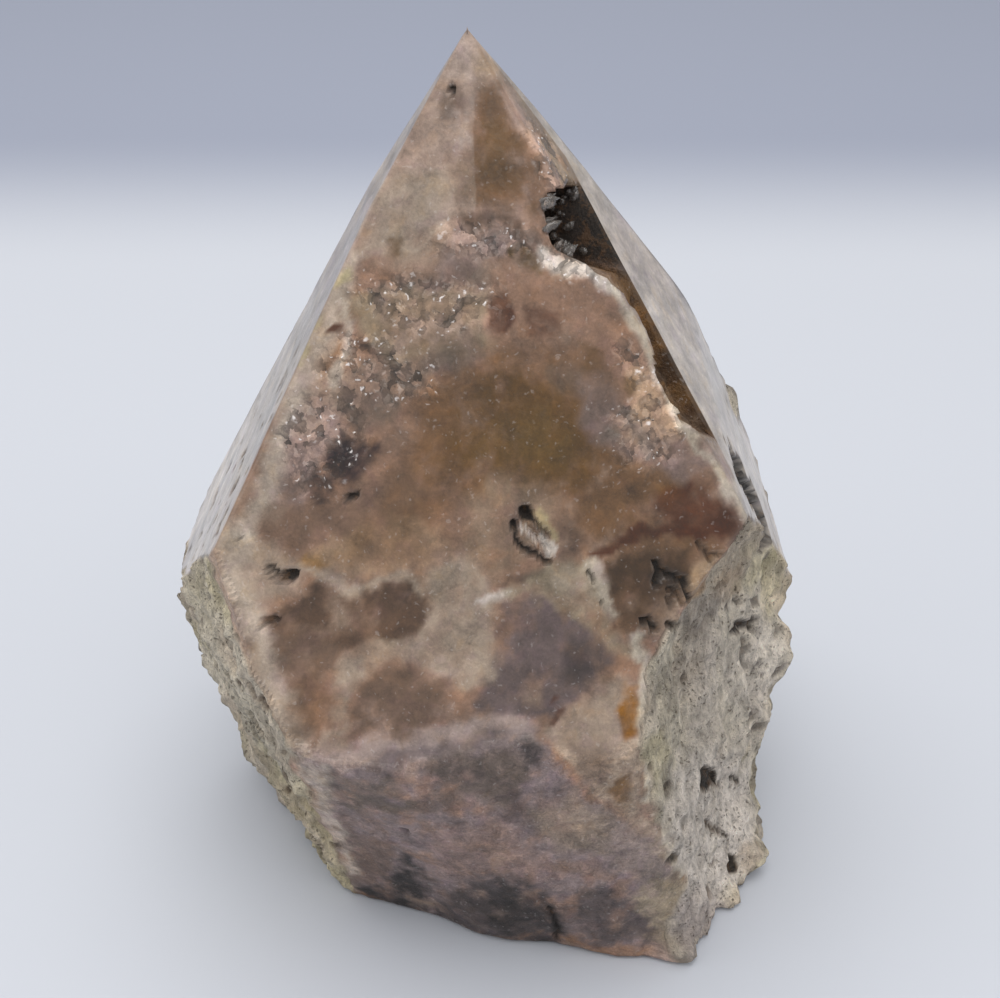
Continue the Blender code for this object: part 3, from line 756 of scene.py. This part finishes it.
# Widths of the colour clouds: on the whole stone, on the rind, in the zones, along their edges and overall
CLOUD_SIZE = 9.0
RIND_CLOUD_SIZE = 2.6
MOTTLE_SIZE = 3.2
ZONE_EDGE_SIZE = 4.4
SHADE_SIZE = 20.0
GROOVE_CLOUD_SIZE = 2.4

# Zones of coarse glittering crystals: place in the picture, half width, half height and turn.
DRUSE = (
    (490, 242, 66, 22, 0),
    (430, 300, 84, 34, 8),
    (380, 370, 76, 40, 12),
    (320, 440, 52, 66, 14),
    (580, 268, 46, 18, 25),
    (640, 372, 22, 44, -30),
    (650, 430, 56, 44, -15),
    (545, 160, 18, 50, -30),
)


def linear(colour):
    """An sRGB colour from 0 to 255 as linear light."""
    share = np.array(colour) / 255.0
    return np.where(share <= 0.04045, share / 12.92, ((share + 0.055) / 1.055) ** 2.4)


def patch_share(right, down, patch):
    """How far out each point lies in an ellipse in the picture: 0 at its middle and 1 on its rim."""
    across, below, half_width, half_height, turn = patch
    cosine, sine = math.cos(math.radians(turn)), math.sin(math.radians(turn))
    across, below = right - across, down - below
    along, beside = across * cosine + below * sine, below * cosine - across * sine
    return np.hypot(along / half_width, beside / half_height)


def mixed(colours, name, share):
    """The colours moved towards one of the palette's, by share."""
    return colours + (linear(PALETTE[name]) - colours) * share[..., None]


def clouded(base, others, clouds, strength):
    """One palette colour with clouds of four others over it."""
    colours = np.broadcast_to(linear(PALETTE[base]), clouds[0].shape + (3,)).copy()
    for name, cloud in zip(others, clouds):
        colours = mixed(colours, name, strength * smooth_step(0.5, 1.0, cloud))
    return colours


def stone_colours(points, parts):
    """The colour of each point: clouds of noise all round, then the named zones and strokes, in order, on the
    side that the camera sees. It also gives how druse-like each point is."""
    cloud = [0.5 + 0.9 * fractal(points, CLOUD_SIZE, seed) for seed in (91, 95, 99, 103)]
    colours = clouded("rose", ("pale lilac", "umber rose", "smoke", "cream"), cloud, 0.7)
    sides = clouded("face lilac", ("pale lilac", "cream", "lilac", "bone"), cloud, 0.3)
    rind = clouded("rind", ("chalk", "moss", "cream", "bone"), cloud, 0.5)
    rind = rind * (1 + 0.22 * fractal(points, RIND_CLOUD_SIZE, 107)[..., None])
    sides = mixed(sides, "snow", 0.4 * parts["right"])
    colours = colours + (sides - colours) * parts["side"][..., None]
    colours = colours + (rind - colours) * parts["skin"][..., None]
    colours = mixed(colours, "umber", 0.95 * parts["trough"])
    bark = smooth_step(-0.2, 0.25, fractal(points, GROOVE_CLOUD_SIZE, 123))
    colours = mixed(colours, "bark", parts["trough"] * bark)

    right, down = picture_places(points)
    seen = parts["facing"] * (1 - 0.95 * parts["skin"])
    seen = seen * (1 - 0.85 * parts["side"]) * (1 - 0.9 * parts["trough"])
    ragged = [fractal(points, ZONE_EDGE_SIZE, seed, octaves=4, gain=0.7) for seed in (71, 76)]
    reach = 10.0 - 3.0 * parts["polish"]
    rough = parts["facing"] * parts["skin"]
    mottle = np.clip(0.94 + 0.5 * fractal(points, MOTTLE_SIZE, 127, octaves=4, gain=0.75), 0.35, 1.04)
    zones = [(rough, *zone) for zone in RIND_ZONES] + [(seen * mottle, *zone) for zone in ZONES]
    for where, name, strength, soft, outline in zones:
        crisp = min(soft / 5.0, 1.0)
        away = outline_distance(right + crisp * reach * ragged[0], down + crisp * reach * ragged[1], outline)
        share = strength * where * (1 - smooth_step(-0.75 * soft, 0.75 * soft, away))
        colours = mixed(colours, name, np.minimum(share, 1.0))
    right, down = right + reach * ragged[0], down + reach * ragged[1]
    for name, strength, half_width, soft, line in STROKES:
        away = line_distance(right, down, line) - half_width
        colours = mixed(colours, name, strength * seen * (1 - smooth_step(-0.4 * soft, soft, away)))
    colours = colours * (1 + ((0.2 - 0.1 * seen) * fractal(points, SHADE_SIZE, 119))[..., None])
    druse = np.zeros_like(seen)
    for zone in DRUSE:
        share = patch_share(right, down, zone)
        druse = np.maximum(druse, seen * (1 - smooth_step(0.55, 1.1, share)))
    return colours, druse


def closed_mesh(name, grid, lowest, highest):
    """A mesh of a grid that closes round its columns: quads join neighbours, and a fan at each end runs to
    one point."""
    rows, columns = grid.shape[:2]
    index = np.arange(rows * columns).reshape(rows, columns)
    beside = np.roll(index, -1, axis=1)
    quads = np.stack([index[:-1], beside[:-1], beside[1:], index[1:]], axis=-1).reshape(-1, 4)
    under = np.stack([np.full(columns, rows * columns), beside[0], index[0]], axis=-1)
    over = np.stack([np.full(columns, rows * columns + 1), index[-1], beside[-1]], axis=-1)
    points = np.concatenate([grid.reshape(-1, 3), [lowest, highest]]) * MM
    corners = np.concatenate([quads.ravel(), under.ravel(), over.ravel()])
    counts = np.concatenate([np.full(len(quads), 4), np.full(2 * columns, 3)])
    return filled_mesh(name, points, corners, counts)


def filled_mesh(name, points, corners, counts):
    """A mesh from point places, the corners of its faces in a row, and how many each face has."""
    mesh = bpy.data.meshes.new(name)
    mesh.vertices.add(len(points))
    mesh.vertices.foreach_set("co", points.astype(np.float32).ravel())
    mesh.loops.add(len(corners))
    mesh.loops.foreach_set("vertex_index", corners.astype(np.int32))
    mesh.polygons.add(len(counts))
    mesh.polygons.foreach_set("loop_start", (np.cumsum(counts) - counts).astype(np.int32))
    mesh.update(calc_edges=True)
    mesh.validate()
    return mesh


def put_values(mesh, name, values, ends):
    """A value for each point of a closed grid's mesh, with its two end points last."""
    layer = mesh.attributes.new(name, "FLOAT", "POINT")
    layer.data.foreach_set("value", np.concatenate([values.ravel(), ends]).astype(np.float32))


def put_colours(mesh, name, colours):
    """A colour for each point of a closed grid's mesh. The two end points take their last neighbours'."""
    flat = colours.reshape(-1, 3)
    flat = np.concatenate([flat, [flat[0], flat[-1]]])
    flat = np.concatenate([flat, np.ones((len(flat), 1))], axis=1)
    layer = mesh.attributes.new(name, "FLOAT_COLOR", "POINT")
    layer.data.foreach_set("color", flat.astype(np.float32).ravel())


def new_object(name, mesh, material):
    """A mesh object in the scene with one material."""
    mesh.materials.append(material)
    made = bpy.data.objects.new(name, mesh)
    bpy.context.scene.collection.objects.link(made)
    return made


# Shader helpers


class Wire:
    """A value inside a shader. Sums written with it add the Math nodes that work them out."""

    def __init__(self, paint, socket):
        self.paint = paint
        self.socket = socket

    def combined(self, operation, first, second):
        """A Math node of two values."""
        return self.paint.node("ShaderNodeMath", {"operation": operation}, {0: first, 1: second})

    def __add__(self, other):
        return self.combined("ADD", self, other)

    def __radd__(self, other):
        return self.combined("ADD", other, self)

    def __sub__(self, other):
        return self.combined("SUBTRACT", self, other)

    def __rsub__(self, other):
        return self.combined("SUBTRACT", other, self)

    def __mul__(self, other):
        return self.combined("MULTIPLY", self, other)

    def __rmul__(self, other):
        return self.combined("MULTIPLY", other, self)


class Paint:
    """A material in the making."""

    def __init__(self, name):
        self.material = bpy.data.materials.new(name)
        self.material.use_nodes = True
        self.tree = self.material.node_tree
        self.tree.nodes.clear()

    def node(self, kind, settings=None, inputs=None, output=0):
        """Adds a node of a kind, with its settings first and then its sockets' values or links."""
        made = self.tree.nodes.new(kind)
        for name, value in (settings or {}).items():
            setattr(made, name, value)
        for key, value in (inputs or {}).items():
            if isinstance(value, Wire):
                self.tree.links.new(value.socket, made.inputs[key])
            else:
                made.inputs[key].default_value = value
        return Wire(self, made.outputs[output])

    def place(self):
        """Object coordinates, in metres."""
        return self.node("ShaderNodeTexCoord", output="Object")

    def attribute(self, name, output="Fac"):
        """A value or colour that the mesh carries."""
        return self.node("ShaderNodeAttribute", {"attribute_name": name}, output=output)

    def noise(self, place, size, detail=2.0, roughness=0.5, output="Fac"):
        """Noise with lumps of a size in metres."""
        return self.node("ShaderNodeTexNoise", {}, {"Vector": place, "Scale": 1 / size, "Detail": detail,
                         "Roughness": roughness}, output)

    def grains(self, place, size, output="Distance"):
        """Cells of a size in metres: the distance to the middle of each one, or its own colour."""
        return self.node("ShaderNodeTexVoronoi", {}, {"Vector": place, "Scale": 1 / size}, output)

    def between(self, value, low, high, to_low=0.0, to_high=1.0):
        """A value eased from low..high to to_low..to_high."""
        return self.node("ShaderNodeMapRange", {"interpolation_type": "SMOOTHSTEP"}, {
            "Value": value, "From Min": low, "From Max": high, "To Min": to_low, "To Max": to_high})

    def channel(self, colour, name="Red"):
        """One channel of a colour."""
        return self.node("ShaderNodeSeparateColor", {}, {0: colour}, name)

    def mix(self, share, first, second, blend="MIX"):
        """Two colours mixed by share."""
        return self.node("ShaderNodeMix", {"data_type": "RGBA", "blend_type": blend},
                         {0: share, 6: first, 7: second}, 2)

    def times(self, share, colour, factor):
        """A colour that is multiplied by a factor, or by a grey level, as far as share says."""
        return self.mix(share, colour, self.mix(1.0, colour, factor, "MULTIPLY"))

    def vectors(self, operation, first, inputs):
        """A Vector Math node on a first vector and its other inputs."""
        return self.node("ShaderNodeVectorMath", {"operation": operation}, {0: first, **inputs})

    def pushed(self, vector, by, amount):
        """A vector pushed about by a colour: vector + amount (by - 0.5)."""
        centred = self.vectors("SUBTRACT", by, {1: (0.5, 0.5, 0.5)})
        return self.vectors("ADD", vector, {1: self.vectors("SCALE", centred, {"Scale": amount})})

    def finish(self, inputs, volume=None):
        """Ends the material in a Principled shader, and gives it an inside where it has one."""
        shader = self.node("ShaderNodeBsdfPrincipled", {}, inputs)
        end = self.tree.nodes.new("ShaderNodeOutputMaterial")
        self.tree.links.new(shader.socket, end.inputs["Surface"])
        if volume:
            self.tree.links.new(volume.socket, end.inputs["Volume"])
        return self.material


def rgba(name):
    """A palette colour, linear, with full alpha."""
    return tuple(float(part) for part in linear(PALETTE[name])) + (1.0,)


# What the stone's tint is multiplied by where it is warmer, cooler, paler or deeper
WARM = (1.06, 1.0, 0.9, 1.0)
COOL = (0.98, 0.95, 1.03, 1.0)
PALE = (1.6, 1.56, 1.54, 1.0)
DEEP = (0.62, 0.56, 0.55, 1.0)

# How rough the unpolished stone looks, and how strongly quartz bends light
ROUGH_FINISH = 0.62
QUARTZ_IOR = 1.54


def amethyst_material(settings):
    """The stone. The tint that its mesh carries is clouded, grained and, in the druse, broken into crystals
    with painted shading and painted glints. Ground faces shine, the broken face is satin, and the rind is
    chalky and full of pores with painted shade. Painted shade darkens its pits, crevices, hollows and
    scratches."""
    paint = Paint("cloudy_amethyst")
    place = paint.place()
    tint = paint.attribute("tint", "Color")
    polish, druse, dark, skin = (paint.attribute(name) for name in ("polish", "druse", "dark", "skin"))
    broken_face = (1 - polish) * (1 - skin)
    grain = settings.grain_size

    swirl = paint.noise(place, 3.0 * grain, 3.0, 0.6, "Color")
    swirled = paint.pushed(place, swirl, 2.4 * grain)
    shiver = paint.noise(place, 0.55 * grain, 2.0, 0.6, "Color")
    broken = paint.pushed(swirled, shiver, 0.75 * grain)
    cloud = paint.noise(swirled, 3.2 * grain, 6.0, 0.62)
    fine = paint.noise(place, 0.28 * grain, 3.0, 0.7)
    warmth = paint.noise(swirled, 2.3 * grain, 4.0, 0.6)
    fleck = paint.noise(broken, 1.1 * grain, 4.0, 0.66)

    level = 0.87 - 0.2 * polish + (1.4 + 0.5 * broken_face) * (cloud - 0.5)
    level = level + (0.45 + 0.5 * broken_face) * (fine - 0.5)
    colour = paint.mix(1.0, tint, level, "MULTIPLY")
    colour = paint.times(paint.between(warmth, 0.5, 0.72), colour, WARM)
    colour = paint.times(paint.between(warmth, 0.5, 0.3), colour, COOL)
    colour = paint.times(paint.between(fleck, 0.53, 0.62) * (0.22 + 0.3 * broken_face), colour, PALE)
    colour = paint.times(paint.between(fleck, 0.47, 0.37) * (0.14 + 0.4 * broken_face), colour, DEEP)

    heart = paint.grains(broken, 1.05 * grain)
    cell = paint.grains(broken, 1.05 * grain, "Color")
    # Each druse grain takes its own tone, with painted shading: lighter at its middle and darker towards its
    # border.
    crystal = 1.52 + 1.3 * (paint.channel(cell) - 0.5) - 0.75 * heart
    colour = paint.times(druse, colour, crystal)
    # Painted highlights: white glints mixed into the colour, small ones all over but the rind, and with large
    # ones most in the druse.
    small_cell = paint.grains(broken, 0.5 * grain, "Color")
    small_heart = paint.grains(broken, 0.5 * grain)
    small = paint.between(paint.channel(small_cell), 0.78, 0.9)
    small = small * paint.between(small_heart, 0.1, 0.42, 1.0, 0.0)
    large = paint.between(paint.channel(cell, "Green"), 0.93, 0.97)
    large = large * paint.between(heart, 0.1, 0.4, 1.0, 0.0)
    glint = (small * (0.11 + 0.7 * druse) + 0.8 * large * druse) * (1 - skin)
    colour = paint.mix(glint, colour, rgba("glint"))

    streaks = paint.node("ShaderNodeMapping", {}, {"Vector": place, "Scale": (1.0, 1.0, 0.42)})
    ripple = paint.noise(streaks, 1.15 * grain, 5.0, 0.68)
    spot = paint.grains(broken, 0.62 * grain)
    group = paint.noise(place, 2.4 * grain)
    shaded_pore = paint.between(spot, 0.12, 0.36, 1.0, 0.0) * paint.between(group, 0.38, 0.56)
    chalky = paint.mix(1.0, tint, 2.3 * ripple + 0.7 * fine - 0.46, "MULTIPLY")
    # Painted shade in the rind's pores: they turn dark brown.
    chalky = paint.mix(shaded_pore * 0.6, chalky, rgba("shaded_pore"))
    colour = paint.mix(skin, colour, chalky)
    # Painted shade: where the mesh's share of it is high, pits, crevices, hollows and scratches turn
    # near-black to dark brown.
    shade = paint.mix(paint.between(fleck, 0.5, 0.62) * 0.7, rgba("peat"), rgba("bark"))
    colour = paint.mix(dark * (0.8 + 0.3 * fine), colour, shade)

    gloss = polish * (ROUGH_FINISH - settings.polish_roughness)
    roughness = ROUGH_FINISH - gloss + 0.25 * skin + 0.14 * (fine - 0.5) + 0.2 * dark
    chalk_height = skin * (1.9 * ripple - 0.4 * shaded_pore + 0.5 * fine)
    broken_height = broken_face * (0.4 * cloud + 0.16 * fine + 0.2 * fleck)
    polish_height = polish * (0.03 * cloud + 0.012 * fine - 0.035 * druse * heart)
    straight = paint.node("ShaderNodeNewGeometry", output="Normal")
    facets = paint.pushed(straight, small_cell, (0.1 + 0.55 * druse) * (1 - skin))
    normal = paint.node("ShaderNodeBump", {}, {
        "Height": chalk_height + broken_height + polish_height, "Distance": MM,
        "Normal": paint.vectors("NORMALIZE", facets, {})})
    return paint.finish({
        "Base Color": colour, "Roughness": roughness, "Coat Weight": polish * settings.shine * (1 - dark),
        "Coat Roughness": 0.12, "IOR": QUARTZ_IOR, "Normal": normal})


def quartz_material():
    """Clear greyish quartz: light passes through and dims a little on its way."""
    paint = Paint("clear_quartz")
    inside = paint.node("ShaderNodeVolumeAbsorption", {}, {"Color": (0.78, 0.74, 0.74, 1.0), "Density": 40.0})
    return paint.finish({
        "Base Color": (0.8, 0.74, 0.7, 1.0), "Roughness": 0.05, "IOR": QUARTZ_IOR,
        "Transmission Weight": 0.92}, inside)


def floor_material(settings):
    """Pale ground, by its place on the floor turning blue-grey with painted shade at the back."""
    paint = Paint("pale_floor")
    depth = paint.node("ShaderNodeSeparateXYZ", {}, {0: paint.place()}, "Y")
    far = paint.between(depth, settings.fade_start, settings.fade_end)
    colour = paint.mix(far, tuple(settings.near_colour) + (1.0,), tuple(settings.far_shade_colour) + (1.0,))
    return paint.finish({"Base Color": colour, "Roughness": 0.7, "Specular IOR Level": 0.2})


# Settings


class StoneSettings(bpy.types.PropertyGroup):
    """Sizes and finish of the stone."""

    grain_size: bpy.props.FloatProperty(
        name="Grain size", description="Typical width of the stone's crystal grains", default=0.001,
        min=0.0003, max=0.005, precision=4, unit="LENGTH")
    polish_roughness: bpy.props.FloatProperty(
        name="Polish roughness", description="Roughness of the ground faces", default=0.34, min=0.0, max=1.0,
        subtype="FACTOR")
    shine: bpy.props.FloatProperty(
        name="Shine", description="Weight of the clear skin on the ground faces", default=0.22, min=0.0,
        max=1.0, subtype="FACTOR")


class StageSettings(bpy.types.PropertyGroup):
    """The floor, the lights and the room's light."""

    near_colour: bpy.props.FloatVectorProperty(
        name="Near floor", description="Colour of the floor around the stone", default=(0.53, 0.56, 0.625),
        min=0.0, max=1.0, subtype="COLOR")
    # The far colour is painted shade: the back of the stage, darker than the floor round the stone.
    far_shade_colour: bpy.props.FloatVectorProperty(
        name="Far floor", description="Colour of the floor at the back", default=(0.30, 0.33, 0.42), min=0.0,
        max=1.0, subtype="COLOR")
    fade_start: bpy.props.FloatProperty(
        name="Fade start", description="Where the floor starts to darken, behind the stone", default=0.165,
        unit="LENGTH")
    fade_end: bpy.props.FloatProperty(
        name="Fade end", description="Where the floor is fully dark", default=0.26, unit="LENGTH")
    top_power: bpy.props.FloatProperty(
        name="Top light", description="Power of the large light above", default=3.95, min=0.0, unit="POWER")
    front_power: bpy.props.FloatProperty(
        name="Front light", description="Power of the soft light high up in front", default=1.6, min=0.0,
        unit="POWER")
    fill_power: bpy.props.FloatProperty(
        name="Side lights", description="Power of each soft light at the sides", default=0.7, min=0.0,
        unit="POWER")
    world_level: bpy.props.FloatProperty(
        name="Room light", description="Strength of the pale light from all round", default=0.62, min=0.0)


# Operators


# The crystals of the large hollow: their number, seed, half widths, lengths over half width, and how wide
# they are at shares of their length. Each has two rings of six points, a root and a tip.
CRYSTAL_COUNT = 48
CRYSTAL_SEED = 12
CRYSTAL_WIDTHS = (0.24, 0.46)
CRYSTAL_LENGTHS = (3.2, 5.0)
CRYSTAL_RINGS = ((0.0, 0.85), (0.62, 1.0))
ROOT_POINT = 12
TIP_POINT = 13
CRYSTAL_POINTS = 14


def hexagon_crystals(roots, directions, widths, lengths, turns):
    """Six-sided crystals, all at once. Level by level a crystal's corners lie at root + direction * height +
    width * (side cos a + other sin a), and its last level is one point."""
    helper = np.where(np.abs(directions[:, 2:]) < 0.8, (0.0, 0.0, 1.0), (1.0, 0.0, 0.0))
    side = np.cross(directions, helper)
    side /= np.linalg.norm(side, axis=1, keepdims=True)
    other = np.cross(directions, side)
    angle = turns[:, None] + np.arange(6) * math.pi / 3
    ring = side[:, None] * np.cos(angle)[..., None] + other[:, None] * np.sin(angle)[..., None]
    levels = []
    for height, width in CRYSTAL_RINGS:
        levels.append(roots[:, None] + (directions * lengths[:, None] * height)[:, None]
                      + ring * widths[:, None, None] * width)
    tips = roots + directions * lengths[:, None]
    points = np.concatenate(levels + [roots[:, None], tips[:, None]], axis=1)
    corner = np.arange(6)
    beside = (corner + 1) % 6
    walls = np.stack([corner, beside, beside + 6, corner + 6], axis=-1)
    roof = np.stack([corner + 6, beside + 6, np.full(6, TIP_POINT)], axis=-1)
    foot = np.stack([beside, corner, np.full(6, ROOT_POINT)], axis=-1)
    shift = np.arange(len(roots))[:, None] * CRYSTAL_POINTS
    quads = (walls.ravel()[None] + shift).reshape(-1, 4)
    triangles = (np.concatenate([roof, foot]).ravel()[None] + shift).reshape(-1, 3)
    corners = np.concatenate([quads.ravel(), triangles.ravel()])
    counts = np.concatenate([np.full(len(quads), 4), np.full(len(triangles), 3)])
    return points.reshape(-1, 3), corners, counts


def hollow_crystals():
    """Crystals of seeded sizes on the left and lower rim of the large hollow, leaning to its mouth. Each one
    is rooted part of the way from one point of the grid to the next, so that steep walls are covered too."""
    points = stone_surface()[0]
    normals = grid_normals(points)
    right, down = picture_places(points)
    depth = -outline_distance(right, down, EDGE_HOLLOW)
    rim = (np.abs(depth - 3.0) < 5.0) & ((right < 566) | (down > 234))
    low, high = (np.array(corner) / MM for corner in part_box("vug_crystal_crust"))
    rim &= ((points > low - 0.3) & (points < high + 0.3)).all(axis=-1)
    row, column = np.nonzero(rim)
    dice = np.random.default_rng(CRYSTAL_SEED)
    pick = dice.integers(0, len(row), CRYSTAL_COUNT)
    row, column = row[pick], column[pick]
    share = dice.uniform(0, 1, (len(pick), 1))
    roots = points[row, column] + share * (points[row, column + 1] - points[row, column])
    lean = normals[row, column] + np.array((0.5, 0.0, 0.5)) + 0.35 * dice.normal(size=roots.shape)
    lean /= np.linalg.norm(lean, axis=1, keepdims=True)
    widths = dice.uniform(*CRYSTAL_WIDTHS, len(roots))
    lengths = widths * dice.uniform(*CRYSTAL_LENGTHS, len(roots))
    return hexagon_crystals(roots - 0.4 * lean, lean, widths, lengths, dice.uniform(0, 1, len(roots)))


class AMETHYST_OT_stone(bpy.types.Operator):
    """Builds the stone with its faces, rind, hollows and colours"""

    bl_idname = "amethyst.stone"
    bl_label = "Build the stone"

    def execute(self, context):
        points, parts = stone_surface()
        colours, druse = stone_colours(points, parts)
        tip = np.array((TIP_X, 0.0, TIP_HEIGHT))
        mesh = closed_mesh("polished_point", points, np.zeros(3), tip)
        put_colours(mesh, "tint", colours)
        put_values(mesh, "polish", parts["polish"], (0.0, 1.0))
        put_values(mesh, "dark", parts["dark"], (0.0, 0.0))
        put_values(mesh, "skin", parts["skin"], (0.5, 0.0))
        put_values(mesh, "druse", druse, (0.0, 0.0))
        mesh.shade_smooth()
        piece = new_object("polished_point", mesh, amethyst_material(context.scene.amethyst_stone))
        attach(piece, "root")
        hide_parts("amethyst_point")
        return {"FINISHED"}


class AMETHYST_OT_crystals(bpy.types.Operator):
    """Lines the largest hollow with quartz crystals"""

    bl_idname = "amethyst.crystals"
    bl_label = "Line the hollow"

    def execute(self, context):
        points, corners, counts = hollow_crystals()
        if not len(points):
            raise RuntimeError("the hollow has no wall for its crystals")
        mesh = filled_mesh("hollow_crystals", points * MM, corners, counts)
        piece = new_object("hollow_crystals", mesh, quartz_material())
        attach(piece, "root")
        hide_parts("vug_crystal_crust")
        return {"FINISHED"}


# Lights: name, place in metres, width, the setting that holds its power, and colour. All look at one point.
LIGHTS = (
    ("top_light", (-0.1, 0.1, 0.75), 0.8, "top_power", (1.0, 0.98, 0.95)),
    ("front_light", (0.1, -0.4, 0.75), 0.6, "front_power", (1.0, 0.98, 0.95)),
    ("side_light", (-0.75, -0.25, 0.35), 0.5, "fill_power", (1.0, 0.985, 0.97)),
    ("side_light", (0.75, -0.25, 0.35), 0.5, "fill_power", (1.0, 0.985, 0.97)),
)
LIT_POINT = (0.0, 0.0, 0.05)
ROOM_COLOUR = (1.0, 0.985, 0.965, 1.0)
FLOOR_REACH = 2.0


def area_light(name, place, size, power, colour):
    """A square soft light that looks from a place to the lit point."""
    lamp = bpy.data.lights.new(name, "AREA")
    lamp.shape = "SQUARE"
    lamp.size = size
    lamp.energy = power
    lamp.color = colour
    made = bpy.data.objects.new(name, lamp)
    made.location = place
    made.rotation_euler = (Vector(LIT_POINT) - Vector(place)).to_track_quat("-Z", "Y").to_euler()
    bpy.context.scene.collection.objects.link(made)


class AMETHYST_OT_stage(bpy.types.Operator):
    """Sets out the floor, the lights and the camera"""

    bl_idname = "amethyst.stage"
    bl_label = "Set the stage"

    def execute(self, context):
        settings = context.scene.amethyst_stage
        corners = FLOOR_REACH * np.array(((-1, -1, 0), (1, -1, 0), (1, 1, 0), (-1, 1, 0)))
        mesh = filled_mesh("floor", corners, np.arange(4), np.array([4]))
        new_object("floor", mesh, floor_material(settings))
        for name, place, size, power, colour in LIGHTS:
            area_light(name, place, size, getattr(settings, power), colour)
        world = bpy.data.worlds.new("room")
        world.use_nodes = True
        room = world.node_tree.nodes["Background"]
        room.inputs["Color"].default_value = ROOM_COLOUR
        room.inputs["Strength"].default_value = settings.world_level
        context.scene.world = world
        context.scene.view_settings.view_transform = "Standard"
        lens = bpy.data.cameras.new("camera")
        lens.lens = CAMERA_LENS
        lens.sensor_width = SENSOR_WIDTH
        lens.clip_start = 0.01
        camera = bpy.data.objects.new("camera", lens)
        camera.location = Vector(CAMERA_PLACE) * MM
        camera.rotation_euler = (math.radians(90.0 - CAMERA_DIP), 0.0, 0.0)
        context.scene.collection.objects.link(camera)
        context.scene.camera = camera
        return {"FINISHED"}


class AMETHYST_PT_panel(bpy.types.Panel):
    """Lists the stone's operators and settings"""

    bl_idname = "AMETHYST_PT_panel"
    bl_label = "Amethyst"
    bl_space_type = "VIEW_3D"
    bl_region_type = "UI"
    bl_category = "Amethyst"

    def draw(self, context):
        layout = self.layout
        for step in STEPS:
            layout.operator(step.bl_idname)
        for group in (context.scene.amethyst_stone, context.scene.amethyst_stage):
            box = layout.box()
            for name in group.__annotations__:
                box.prop(group, name)


STEPS = (AMETHYST_OT_stone, AMETHYST_OT_crystals, AMETHYST_OT_stage)
CLASSES = (StoneSettings, StageSettings, *STEPS, AMETHYST_PT_panel)


def register():
    """Adds the add-on's classes and settings."""
    for kind in CLASSES:
        bpy.utils.register_class(kind)
    bpy.types.Scene.amethyst_stone = bpy.props.PointerProperty(type=StoneSettings)
    bpy.types.Scene.amethyst_stage = bpy.props.PointerProperty(type=StageSettings)


def unregister():
    """Takes the add-on's classes and settings away."""
    del bpy.types.Scene.amethyst_stage
    del bpy.types.Scene.amethyst_stone
    for kind in reversed(CLASSES):
        bpy.utils.unregister_class(kind)


def main():
    """Builds every piece and the stage."""
    register()
    bpy.ops.amethyst.stone()
    bpy.ops.amethyst.crystals()
    bpy.ops.amethyst.stage()


if __name__ == "__main__":
    main()
